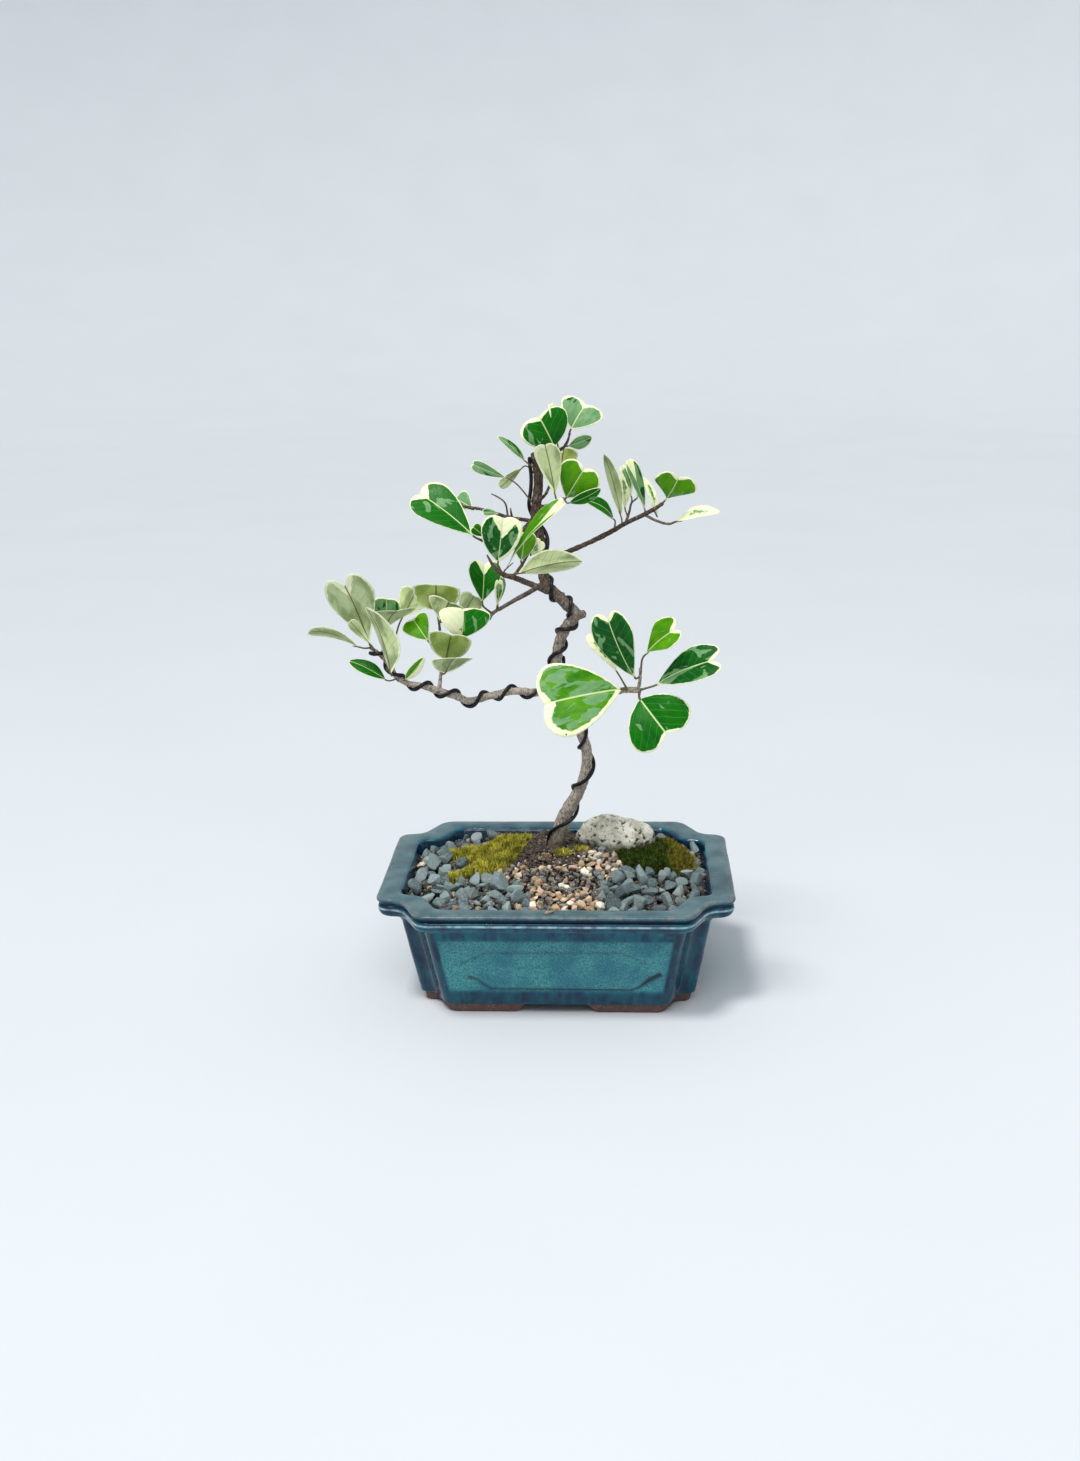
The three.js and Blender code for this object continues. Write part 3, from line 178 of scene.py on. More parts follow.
# Limbs: each point is a column, a row, a depth and the limb's radius there
LIMBS = {
    "trunk": [
        (551, 858, 20, 4.2), (557, 842, 19, 3.7), (563, 820, 18, 3.2), (571, 805, 16, 3.0),
        (579, 791, 14, 2.6), (584, 778, 12, 2.4), (587, 760, 10, 2.35), (586, 747, 9, 2.3),
        (580, 731, 8, 2.3), (570, 712, 7, 2.3), (560, 690, 6, 2.3), (556, 668, 5, 2.3),
        (558, 650, 5, 2.3), (561, 638, 4, 2.3), (568, 625, 4, 2.4), (575, 614, 4, 2.5),
        (566, 604, 4, 2.4), (556, 594, 5, 2.3), (546, 584, 6, 2.3), (543, 572, 7, 2.3),
        (543, 555, 7, 2.2), (540, 538, 6, 2.1), (536, 522, 5, 2.2), (536, 505, 5, 2.1),
        (538, 490, 5, 2.0), (538, 473, 5, 1.9), (535, 460, 5, 1.6), (533, 453, 5, 1.2),
    ],
    "elbow_stub": [(572, 616, 4, 2.0), (579, 615, 4, 1.9), (585, 613.5, 4, 1.7)],
    "lower_left": [
        (559, 690, 6, 1.7), (545, 692, 5, 1.7), (533.7, 692.6, 3, 1.7), (515.5, 691, 1, 1.6),
        (489, 696, 0, 1.6), (469, 701, -3, 1.6), (455.8, 696, -5, 1.6), (439, 691, -6, 1.5),
        (422.6, 686, -7, 1.35), (406, 682.7, -8, 1.25), (396, 676, -8.5, 1.2),
        (387.8, 662.8, -9, 1.1), (379.5, 654.5, -9.5, 1.0), (371, 648, -10, 0.9),
    ],
    "lower_shoot": [
        (439.5, 690, -6, 0.9), (441, 673, -5, 0.8), (444, 660, -4, 0.75), (441, 640, -3, 0.7),
        (439.5, 627, -2.5, 0.65), (437, 606, -2, 0.55),
    ],
    "right_front": [
        (572, 716, 7, 1.4), (590, 706, -10, 1.3), (610, 694, -28, 1.3), (625, 690, -36, 1.3),
        (640, 690, -38, 1.2),
    ],
    "right_front_twig": [(638, 690, -38, 0.8), (640, 680, -38.5, 0.7), (640, 668, -39, 0.55)],
    "front_left": [
        (556, 594, 5, 1.4), (545, 590, 3, 1.4), (533, 585, 0, 1.3), (515, 578, -6, 1.2),
        (503, 574.7, -10, 1.1),
    ],
    "front_left_bud": [(503, 574.7, -10, 0.9), (495, 568, -11, 0.8), (487, 555, -12, 0.35)],
    "front_left_twig": [
        (513, 577, -7, 0.7), (521, 566, -7.5, 0.65), (528, 554, -8, 0.55), (535, 540, -8, 0.4),
    ],
    "back_left": [
        (543, 583, 7, 1.1), (533, 590, 9, 1.1), (515, 600, 12, 1.0), (503, 607, 14, 0.9),
        (492, 614, 15, 0.85), (489, 620, 15, 0.7),
    ],
    "upper_right": [
        (543, 560, 7, 1.2), (555, 556, 9, 1.2), (567, 552, 11, 1.15), (587, 543.5, 14, 1.1),
        (612, 531, 17, 1.1), (626, 523, 18, 1.0), (643, 515, 19, 1.0), (655, 508.5, 19, 0.95),
        (663, 503, 19, 0.8),
    ],
    "upper_right_fork": [
        (645, 515, 19, 0.6), (657, 521, 18, 0.55), (669, 524, 17, 0.5), (675, 522, 16, 0.4),
    ],
    "upper_right_twig": [
        (626, 522, 18, 0.6), (629.5, 511, 18, 0.5), (631.5, 503, 18, 0.4), (636, 499, 18, 0.35),
    ],
    "upper_left": [
        (534, 519, 5, 1.2), (520, 532, 3, 1.0), (505, 538, 1, 0.9), (492, 541, -1, 0.8),
        (482, 540.5, -3, 0.7),
    ],
    "upper_back": [
        (533, 521, 6, 0.9), (508, 517, 9, 0.8), (485, 510, 12, 0.7), (468, 507, 14, 0.65),
        (460, 505.5, 15, 0.6),
    ],
    "dead_twig": [(508, 517, 9, 0.4), (505, 503, 8, 0.35), (498.6, 497.5, 8, 0.3), (491.5, 494, 8, 0.25)],
    "thorn": [(512, 517, 9, 0.5), (511, 512, 8, 0.4), (510.6, 508, 8, 0.25)],
    "upper_spur": [(537, 501, 5, 0.9), (545, 495, 2, 0.7), (549, 487, 0, 0.6), (551, 481, -1, 0.5)],
    "upper_spur_right": [(537, 508, 5, 1.0), (550, 505, 2, 0.9), (559, 502, 0, 0.75), (564, 498, -1, 0.65)],
    "top_twig": [
        (537, 470, 5, 0.9), (547, 460, 4.5, 0.8), (556, 452, 4, 0.75), (564, 447, 4, 0.7),
        (568, 440, 4, 0.6), (569.5, 434, 4, 0.5),
    ],
}

# Surface roots at the trunk's foot: heading in degrees and length
ROOTS = [(20, 9), (125, 8), (205, 11), (300, 10)]
ROOT_RADIUS = 2.4
ROOT_RISE = 1.6
ROOT_DROP = 5.5

# The wood's finest step, the radius under which a twig keeps its own skin, and the heights at which the bark
# is all young and all old
WOOD_VOXEL = 0.34
THINNEST_JOINED = 0.45
YOUNG_AND_OLD_Z = (193, 123)

# Wire stations: a row (trunk) or a column (branch) of the view, and turns counted from the front
TRUNK_WIRE_TURNS = [
    (838, -0.3), (821, 0), (778, 1), (753, 1.5), (738, 2), (697, 3), (650, 4), (628, 5), (607, 6), (590, 7),
    (555, 8), (522, 8.5), (505, 8.72), (470, 8.75), (455, 8.85),
]
BRANCH_WIRE_ON_TRUNK = [(657, 4.35), (689, 3.67)]
BRANCH_WIRE_TURNS = [
    (545, 1.4), (505, 0), (478, -1), (447, -2), (421, -3), (394, -4), (378, -5), (372, -5.3),
]

# How a leaf is coloured: bright is the share of yellow-green in its greens, grey the share of grey-green
# patches, cream the margin's share of the width and backlit how yellow its underside is
LOOKS = {
    "mottled": {"bright": 0.85, "grey": 0.5, "cream": 0.04, "backlit": 0.2},
    "dark": {"bright": 0.1, "grey": 0.3, "cream": 0.032, "backlit": 0.1},
    "deep": {"bright": 0.5, "grey": 0.1, "cream": 0.022, "backlit": 0.1},
    "bright": {"bright": 1.0, "grey": 0.08, "cream": 0.03, "backlit": 0.4},
    "grey": {"bright": 0.15, "grey": 0.85, "cream": 0.05, "backlit": 0.1},
    "cream": {"bright": 0.6, "grey": 0.6, "cream": 0.45, "backlit": 0.5},
    "sage": {"bright": 0.3, "grey": 0.2, "cream": 0.05, "backlit": 0.0},
    "pale": {"bright": 0.3, "grey": 0.9, "cream": 0.05, "backlit": 0.0},
    "backlit": {"bright": 0.9, "grey": 0.2, "cream": 0.05, "backlit": 1.0},
}

# How far a leaf's lobes reach past the notch at its tip, as a share of its length. Under 0 the tip is round
LOBES = {
    1: 0.06, 2: 0.12, 4: 0.18, 5: 0.18, 6: 0.17, 7: 0.2, 8: 0.0, 9: 0.0, 10: -0.08, 11: 0.03, 12: -0.02,
    13: -0.05, 15: 0.04, 18: 0.06, 19: 0.13, 20: 0.03, 22: 0.14, 24: 0.07, 26: -0.08, 27: 0.1, 28: 0.05,
    30: 0.03, 31: -0.02, 32: 0.0, 33: 0.02, 35: 0.13, 36: -0.02, 37: 0.11, 38: 0.1, 39: -0.03, 40: -0.02,
    41: -0.05, 42: -0.05, 43: 0.0, 44: -0.05, 45: 0.13, 46: -0.08,
}
PLAIN_LOBE = 0.05

# How full the blade is towards its base: 0 is the plain wedge, under 0 is straighter
FULLNESS = {
    2: -0.1, 4: -0.6, 5: -0.1, 6: 0.4, 7: -0.3, 15: 1.0, 18: 0.3, 19: 0.9, 20: 0.5, 24: 0.2, 25: -0.8,
    34: 0.5, 38: 0.5, 45: -1.0,
}

# Height of a blade's arch as a share of its length, where it isn't the plain one
ARCHES = {8: 0.4, 31: 0.45, 40: 0.55, 46: 0.42}
PLAIN_ARCH = 0.28

# How far the cream in the notch runs down the midrib, as a share of the length
NOTCH_CREAM = {
    1: 0.08, 2: 0.06, 4: 0.12, 5: 0.05, 6: 0.06, 7: 0.2, 17: 0.1, 18: 0.06, 22: 0.3, 24: 0.3, 25: 0.3,
    27: 0.2, 28: 0.14, 35: 0.08, 37: 0.16, 38: 0.08, 43: 0.4, 45: 0.07,
}
PLAIN_NOTCH_CREAM = 0.03

# Extra cream in millimetres on one half of a leaf: positive on the right half, negative on the left
SIDE_CREAM = {1: -1.6, 13: 3.0, 18: -9.0, 24: 1.6, 25: 1.2, 28: 0.6, 33: 1.2, 34: 2.0, 38: -0.6}

# Leaves in the order of their nodes: limb, where the stalk leaves it, base, tip, width, turn about the
# midrib in degrees (0 shows the upper side, 180 the underside), fold in degrees and look
LEAVES = [
    ("right_front", (628, 690), (622, 689, -39), (545, 704, -50), 31, 12, 8, "mottled"),
    ("right_front_twig", None, (635, 678, -40), (608, 619, -47), 17, -30, 14, "dark"),
    ("right_front", (627, 690), (617, 672, -37), (592, 634, -35), 9, 30, 5, "cream"),
    ("right_front_twig", (640, 676), (645, 655, -40), (674, 630, -47), 14.5, -32, 24, "bright"),
    ("right_front", (640, 690), (656, 685, -39), (711, 661, -50), 16.5, -34, 16, "dark"),
    ("right_front", (638, 691), (640, 699, -40), (666, 733, -49), 28, 8, 8, "deep"),
    ("lower_left", (373, 649), (370, 645, -10), (345, 586, -14), 20.5, 168, 8, "sage"),
    ("lower_left", (371, 648), (359, 647, -18), (309, 631, -24), 9, 118, 6, "pale"),
    ("lower_left", (376, 652), (371, 645, -15), (350, 621, -16), 4.5, 180, 10, "sage"),
    ("lower_left", (391, 668), (391, 674, -17), (366, 607, -23), 17, 125, 22, "pale"),
    ("lower_left", (378, 653), (385, 629, 5), (396, 611, -5), 21, 236, 12, "pale"),
    ("lower_left", (398, 678), (386, 680, -6), (349, 661, -1), 7.5, 35, 15, "deep"),
    ("lower_left", (405, 682), (405, 680, -9), (424, 657, -13), 5, 30, 10, "bright"),
    ("lower_left", (388, 664), (402, 618, 7), (416, 591, 9), 13, 180, 10, "pale"),
    ("lower_shoot", None, (436, 610, -2), (436, 585, -7), 20, 181, 6, "backlit"),
    ("lower_shoot", (440, 630), (440, 621, -4), (449, 602, -6.5), 17, 190, 12, "pale"),
    ("lower_shoot", (442, 648), (428, 641, -1), (413, 619, 5), 13, 0, 14, "bright"),
    ("lower_shoot", (442, 645), (461, 638, -11), (463, 609, -9), 24, 26, 16, "deep"),
    ("lower_shoot", (443, 665), (446, 659, -9), (451, 635, -16), 18.5, 188, 8, "backlit"),
    ("lower_shoot", (441, 675), (445, 673, -10), (455, 658, -20), 17.5, 228, 8, "sage"),
    ("lower_shoot", (439, 618), (461, 617, 9), (474, 596, 14), 11, 180, 10, "sage"),
    ("back_left", (491, 616), (482.3, 602, 12), (484, 565, 17), 17.5, 12, 34, "deep"),
    ("back_left", (498, 610), (498, 603.5, 14), (502, 578, 17), 5.5, 60, 8, "grey"),
    ("front_left", (503, 575), (498, 562, -15), (503, 519, -20), 17, 4, 12, "dark"),
    ("front_left", (509, 577), (505, 570, -12), (562, 504, -23), 8.5, -38, 36, "bright"),
    ("front_left", (512, 577), (518, 573.5, -12), (582, 561, -18), 13, 225, 22, "pale"),
    ("front_left_twig", (522, 565), (521, 561, -11), (525, 534, -14), 10, 10, 12, "bright"),
    ("upper_left", (483, 540), (474, 536.5, -5), (420, 494, 2), 19, 20, 12, "deep"),
    ("upper_back", (462, 506), (473, 509, 17), (456, 499, 22), 10, 10, 12, "grey"),
    ("trunk", (535, 506), (507, 478, 3), (473, 464, 1), 5, -20, 15, "grey"),
    ("trunk", (537, 472), (525, 461, 0), (497, 436, -4), 3.6, 15, 20, "grey"),
    ("trunk", (537, 476), (523, 467, 9), (500, 487, 12), 4.4, 160, 6, "sage"),
    ("upper_spur_right", (555, 503), (555.6, 497, -5), (545, 445, -10), 11, 166, 12, "pale"),
    ("top_twig", (557, 452), (560, 471, 6), (564, 448, 9), 13, 180, 14, "backlit"),
    ("upper_spur_right", (564, 498), (566, 498, 1), (584, 469, -4), 18, 8, 10, "bright"),
    ("upper_spur_right", (561, 501), (569, 503, -4), (601, 488, -9), 6, 45, 12, "deep"),
    ("top_twig", (569.5, 435), (570.5, 430, 4), (585.5, 404.5, 8), 19, -8, 8, "grey"),
    ("top_twig", (558, 451), (554, 446.5, 1), (539, 417, -1), 22, 6, 14, "deep"),
    ("top_twig", (565, 446), (568, 446, 6), (592, 437, 8), 6, 30, 16, "grey"),
    ("upper_right", (615, 529), (613.5, 519, 15), (584, 500, 8), 8, 40, 15, "deep"),
    ("upper_right", (622, 525), (621.5, 518, 16), (604, 454, 13), 6, 150, 18, "sage"),
    ("upper_right_twig", (628, 516), (625, 508, 20), (622, 472, 23), 4.5, 20, 20, "cream"),
    ("upper_right", (643, 515), (645, 510, 19), (628, 460, 15), 7.5, 10, 40, "grey"),
    ("upper_right", (654, 509), (657, 516, 21), (643, 477, 25), 5.5, 40, 15, "cream"),
    ("upper_right", (662, 504), (664.5, 501, 19), (678.5, 478, 9), 18.5, 20, 10, "bright"),
    ("upper_right_fork", (674, 522), (677, 521.5, 15), (720, 512.3, 11), 9, -50, 14, "cream"),
]

# Small young leaves and leaf slivers that are too thin to be solids of their own
YOUNG_LEAVES = [
    ("lower_left", (383, 658), (386, 624, 9), (387, 599, 6), 13, 0, 12, "grey"),
    ("back_left", (495, 612), (497, 606, 13), (499, 581, 10), 4, 20, 10, "cream"),
    ("front_left_twig", (533, 546), (531, 555, -10), (541, 541, -13), 6, 0, 12, "cream"),
    ("upper_left", (484, 540), (484, 536, -5), (473, 527, -8), 5, 0, 16, "deep"),
    ("upper_back", (492, 512), (499, 514, 8), (483, 513, 6), 4, 30, 18, "grey"),
    ("top_twig", (558, 451), (557, 439, 3), (551, 405, 1), 5, 40, 14, "cream"),
    ("upper_right_twig", (632, 503), (631.5, 497, 17), (622, 467, 16), 5, 30, 20, "cream"),
    ("upper_right_twig", (636, 499), (637, 498, 18), (642, 488, 17), 4, 20, 12, "cream"),
]


# Meshes

def lattice(rows, columns, wrap=False):
    """Quads of a grid of points, row by row; wrap joins the last column to the first."""
    i = np.arange(rows - 1)[:, None]
    j = np.arange(columns if wrap else columns - 1)[None, :]
    following = (j + 1) % columns
    near, far = i * columns, (i + 1) * columns
    return np.stack([near + j, near + following, far + following, far + j], -1).reshape(-1, 4)


def turns(count):
    """Evenly spaced angles once round, in radians."""
    return np.linspace(0, 2 * math.pi, count + 1)[:-1]


class Shape:
    """Vertices, faces, material numbers and named values, gathered from several meshes."""

    def __init__(self):
        self.vertices, self.faces, self.slots, self.values = [], [], [], {}
        self.count = 0

    def add(self, vertices, faces, slot=0, **values):
        vertices = np.asarray(vertices, float).reshape(-1, 3)
        self.vertices.append(vertices)
        faces = faces.tolist() if isinstance(faces, np.ndarray) else faces
        self.faces.append([[k + self.count for k in face] for face in faces])
        self.slots.append([slot] * len(faces))
        for key, value in values.items():
            value = np.asarray(value, float)
            width = (3,) if value.shape[-1:] == (3,) else ()
            full = np.broadcast_to(value, (len(vertices),) + width)
            self.values.setdefault(key, []).append(full)
        self.count += len(vertices)
        return self

    def piece(self, name, materials, slot, nodes=(), smooth=True):
        """The gathered meshes as one object that rides with the part and stands for the given nodes."""
        vertices = np.concatenate(self.vertices)
        mesh = bpy.data.meshes.new(name)
        faces = [face for part in self.faces for face in part]
        slots = [index for part in self.slots for index in part]
        mesh.from_pydata((vertices * MM + POT_MIDDLE).tolist(), [], faces)
        for material in materials:
            mesh.materials.append(material)
        mesh.polygons.foreach_set("material_index", slots)
        for key, parts in self.values.items():
            data = np.concatenate(parts)
            vector = data.ndim == 2
            layer = mesh.attributes.new(key, "FLOAT_VECTOR" if vector else "FLOAT", "POINT")
            layer.data.foreach_set("vector" if vector else "value", data.astype(np.float32).ravel())
        mesh.polygons.foreach_set("use_smooth", [smooth] * len(mesh.polygons))
        mesh.update()
        return place(bpy.data.objects.new(name, mesh), slot, nodes)


def place(piece, slot, nodes=()):
    if piece.name not in bpy.context.scene.collection.objects:
        bpy.context.scene.collection.objects.link(piece)
    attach(piece, "root")
    if nodes:
        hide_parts(*nodes)
    return piece


def rough(points, size, octaves=3, seed=0.0):
    """Smooth random values of about -1 to 1 at points, for features of the given size."""
    shifted = np.asarray(points, float).reshape(-1, 3) / size + seed
    return np.array([noise.fractal(p, 1.0, 2.0, octaves) for p in map(Vector, shifted.tolist())])


def inside(corners, x, y):
    """Whether points lie inside an outline."""
    x, y = np.asarray(x, float), np.asarray(y, float)
    result = np.zeros(np.broadcast(x, y).shape, bool)
    for (ax, ay), (bx, by) in zip(corners, closed(corners)[1:]):
        crosses = (ay > y) != (by > y)
        slope = (bx - ax) / (by - ay) if by != ay else 0.0
        result ^= crosses & (x < slope * (y - ay) + ax)
    return result


def edge_distance(corners, x, y):
    """Distance from points to an outline, open or closed as given."""
    best = np.full(np.broadcast(x, y).shape, 1e9)
    for (ax, ay), (bx, by) in zip(corners[:-1], corners[1:]):
        length = (bx - ax) ** 2 + (by - ay) ** 2
        share = np.clip(((x - ax) * (bx - ax) + (y - ay) * (by - ay)) / length, 0, 1)
        best = np.minimum(best, np.hypot(x - ax - share * (bx - ax), y - ay - share * (by - ay)))
    return best


def closed(corners):
    return list(corners) + [corners[0]]


def smoothstep(low, high, value):
    share = np.clip((np.asarray(value, float) - low) / (high - low), 0, 1)
    return share * share * (3 - 2 * share)


# Materials

def rgb(red, green, blue):
    """A colour as seen on a screen, 0 to 255, in linear light."""
    scaled = [channel / 255 for channel in (red, green, blue)]
    return tuple(c / 12.92 if c <= 0.04045 else ((c + 0.055) / 1.055) ** 2.4 for c in scaled) + (1.0,)


class Look:
    """A node material built up step by step. Sizes and depths are millimetres."""

    def __init__(self, name, roughness=0.5, specular=0.5, coat=0.0):
        self.material = bpy.data.materials.new(name)
        self.material.use_nodes = True
        self.tree = self.material.node_tree
        self.shader = self.tree.nodes["Principled BSDF"]
        self.shader.inputs["Roughness"].default_value = roughness
        self.shader.inputs["Specular IOR Level"].default_value = specular
        self.shader.inputs["Coat Weight"].default_value = coat
        self.shader.inputs["Coat Roughness"].default_value = 0.08
        self.place = self.tree.nodes.new("ShaderNodeTexCoord").outputs["Object"]

    def node(self, kind, inputs, output=0, **settings):
        node = self.tree.nodes.new(kind)
        for key, value in settings.items():
            setattr(node, key, value)
        for key, value in inputs.items():
            if isinstance(value, bpy.types.NodeSocket):
                self.tree.links.new(value, node.inputs[key])
            else:
                node.inputs[key].default_value = value
        return node.outputs[output]

    def value(self, name):
        return self.node("ShaderNodeAttribute", {}, "Fac", attribute_name=name)

    def vector(self, name):
        return self.node("ShaderNodeAttribute", {}, "Vector", attribute_name=name)

    def stretched(self, vector, x, y, z):
        return self.node("ShaderNodeMapping", {"Vector": vector, "Scale": (x, y, z)})

    def noise(self, size, detail=3.0, vector=None, distortion=0.0, unit=MM):
        inputs = {
            "Vector": self.place if vector is None else vector,
            "Scale": 1 / (size * unit),
            "Detail": detail,
            "Distortion": distortion,
        }
        return self.node("ShaderNodeTexNoise", inputs)

    def cells(self, size, feature="F1", vector=None, unit=MM):
        inputs = {"Vector": self.place if vector is None else vector, "Scale": 1 / (size * unit)}
        return self.node("ShaderNodeTexVoronoi", inputs, "Distance", feature=feature)

    def span(self, value, low, high, start=0.0, end=1.0):
        inputs = {"Value": value, "From Min": low, "From Max": high, "To Min": start, "To Max": end}
        return self.node("ShaderNodeMapRange", inputs, interpolation_type="SMOOTHSTEP")

    def math(self, operation, first, second=0.0):
        return self.node("ShaderNodeMath", {0: first, 1: second}, operation=operation)

    def times(self, first, second):
        return self.math("MULTIPLY", first, second)

    def mix(self, share, first, second):
        inputs = {0: share, 6: first, 7: second}
        return self.node("ShaderNodeMix", inputs, 2, data_type="RGBA")

    def blend(self, value, low, high, first, second):
        """One colour that turns into another as a value runs from low to high."""
        return self.mix(self.span(value, low, high), rgb(*first), rgb(*second))

    def over(self, base, value, low, high, colour, most=1.0):
        """The base with a colour laid on it where a value runs from low to high."""
        return self.mix(self.span(value, low, high, 0.0, most), base, rgb(*colour))

    def mark(self, base, name, colour, most=1.0):
        """The base with a colour laid on it as far as the mesh's own value says."""
        return self.mix(self.times(self.value(name), most), base, rgb(*colour))

    def colour(self, value):
        self.tree.links.new(value, self.shader.inputs["Base Color"])
        return self

    def roughness(self, value):
        self.tree.links.new(value, self.shader.inputs["Roughness"])
        return self

    def bump(self, height, depth, strength=1.0):
        """Fine relief of the given depth in millimetres."""
        inputs = {"Height": height, "Distance": depth * MM, "Strength": strength}
        normal = self.node("ShaderNodeBump", inputs)
        self.tree.links.new(normal, self.shader.inputs["Normal"])
        return self


def glaze_look():
    look = Look("teal_glaze", specular=0.34)
    cloud = look.noise(9, 4)
    run = look.noise(3.4, 5, look.stretched(look.place, 1, 1, 0.4), 0.6)
    body = look.blend(cloud, 0.35, 0.65, (0, 52, 82), (0, 92, 110))
    body = look.over(body, run, 0.46, 0.74, (4, 120, 132), 0.5)
    body = look.over(body, run, 0.46, 0.3, (0, 36, 66), 0.55)
    mottle = look.blend(look.noise(0.7, 4), 0.36, 0.64, (24, 108, 120), (72, 146, 148))
    mottle = look.over(mottle, look.noise(0.5, 3), 0.56, 0.7, (122, 184, 180), 0.7)
    mottle = look.over(mottle, look.noise(12, 3), 0.6, 0.36, (12, 92, 116), 0.55)
    body = look.mix(look.value("panel"), body, mottle)
    # Dark navy: glaze pooled in the incised lines, and painted shade in the lip's hollows, at the corners,
    # low on the body and inside
    body = look.mark(body, "pool", (2, 24, 46), 0.92)
    # The rim's top in a greyer satin glaze, the grey partly a painted reflection of the pale sky
    body = look.mix(look.value("top"), body, look.blend(cloud, 0.3, 0.7, (56, 84, 92), (84, 110, 114)))
    # Brownish grey on the rim's outer edge: glaze thinning there, with a painted highlight
    thin = look.times(look.value("edge"), look.span(look.noise(3, 3), 0.45, 0.62))
    body = look.mix(look.times(thin, 0.5), body, rgb(128, 122, 112))
    # Pale crest of the bead: a painted highlight, with the glaze thinning over the crest
    bead = look.times(look.value("bead"), look.span(look.noise(4, 4), 0.35, 0.6, 0.25, 0.8))
    body = look.mix(bead, body, rgb(176, 204, 208))
    pin = look.times(look.span(look.cells(3.4), 0.05, 0.02), look.span(look.noise(11), 0.55, 0.6))
    look.colour(look.mix(pin, body, rgb(205, 214, 205)))
    look.roughness(look.math("ADD", look.times(look.value("top"), 0.2), 0.1))
    return look.bump(look.noise(1.6, 3), 0.09).material


def clay_look():
    look = Look("unglazed_clay", roughness=0.9)
    clay = look.mix(look.noise(3, 4), rgb(72, 52, 50), rgb(112, 84, 78))
    clay = look.over(clay, look.noise(0.5, 2), 0.6, 0.7, (150, 124, 112))
    return look.colour(clay).bump(look.noise(0.4, 3), 0.15).material


def stones_look(name, dust, relief):
    look = Look(name, roughness=0.88, specular=0.3)
    stone = look.over(look.vector("tint"), look.noise(0.7, 4), 0.35, 0.7, dust, 0.5)
    stone = look.over(stone, look.noise(0.22, 2), 0.35, 0.2, (32, 36, 38), 0.55)
    stone = look.over(stone, look.noise(2.6, 2), 0.62, 0.7, (168, 152, 128), 0.4)
    # Painted shade on the low parts of each stone, between the others
    stone = look.mark(stone, "low", (20, 22, 22), 0.85)
    return look.colour(stone).bump(look.noise(0.35, 4), relief).material


def soil_look():
    look = Look("dark_soil", roughness=0.97, specular=0.2)
    soil = look.mix(look.noise(1.2, 5), rgb(14, 11, 9), rgb(58, 44, 34))
    soil = look.over(soil, look.noise(0.7, 2), 0.64, 0.7, (112, 92, 72))
    return look.colour(soil).bump(look.noise(0.8, 5), 0.5).material


def mulch_look():
    look = Look("dark_bark_chips", roughness=0.92, specular=0.25)
    fibre = look.noise(0.5, 4, look.stretched(look.place, 1, 0.2, 1))
    chip = look.mix(fibre, look.vector("tint"), rgb(104, 92, 82))
    chip = look.over(chip, look.noise(0.8, 3), 0.5, 0.35, (24, 18, 15))
    # Painted shade on the low parts of the crumbs
    chip = look.mark(chip, "low", (14, 11, 9), 0.8)
    return look.colour(chip).bump(fibre, 0.25).material


def moss_look():
    look = Look("moss", roughness=0.85, specular=0.25)
    leafy = look.mix(look.value("tip"), rgb(30, 38, 6), look.vector("tint"))
    leafy = look.over(leafy, look.noise(1.1, 3), 0.6, 0.72, (168, 160, 66), 0.4)
    return look.colour(leafy).bump(look.noise(0.3, 3), 0.2).material


def rock_look():
    look = Look("pale_pitted_stone", roughness=0.93, specular=0.25)
    pale = look.blend(look.noise(5, 5), 0.35, 0.65, (196, 192, 172), (242, 238, 220))
    pale = look.over(pale, look.noise(1.4, 4), 0.58, 0.7, (112, 110, 98), 0.7)
    pale = look.over(pale, look.noise(2.6, 4, distortion=1.0), 0.6, 0.68, (64, 60, 50), 0.55)
    # Painted shade in the pits
    pale = look.mark(pale, "pit", (52, 50, 44))
    pale = look.mark(pale, "foot", (58, 60, 38), 0.8)
    return look.colour(pale).bump(look.noise(0.5, 5), 0.4).material


def bark_look():
    look = Look("bark", roughness=0.82, specular=0.3)
    streak = look.noise(0.5, 5, look.stretched(look.place, 1, 1, 0.35))
    lower = look.blend(streak, 0.35, 0.65, (126, 114, 102), (190, 178, 164))
    upper = look.blend(streak, 0.35, 0.65, (42, 32, 25), (100, 82, 68))
    bark = look.mix(look.value("age"), upper, lower)
    bark = look.over(bark, look.noise(2.4, 3), 0.6, 0.7, (150, 152, 146), 0.5)
    spot = look.times(look.span(look.cells(2.2), 0.2, 0.1), look.span(look.noise(3.3), 0.5, 0.56))
    bark = look.mix(look.times(spot, 0.85), bark, rgb(42, 30, 24))
    bark = look.mark(bark, "scar", (56, 44, 36))
    bark = look.mark(bark, "stain", (66, 58, 38), 0.8)
    return look.colour(bark).bump(streak, 0.16).material


def wire_look():
    look = Look("black_wire", specular=0.32)
    black = look.blend(look.noise(3.5, 4), 0.4, 0.7, (4, 4, 6), (20, 21, 26))
    look.colour(look.over(black, look.noise(0.7, 3), 0.68, 0.75, (84, 86, 92), 0.4))
    look.roughness(look.span(look.noise(1.5, 3), 0.3, 0.7, 0.3, 0.55))
    return look.bump(look.noise(0.5, 3), 0.05).material


def plastic_look():
    look = Look("screen_plastic", roughness=0.6)
    dark = look.mix(look.noise(2, 3), rgb(20, 20, 20), rgb(42, 42, 40))
    return look.colour(dark).bump(look.noise(0.4, 2), 0.05).material


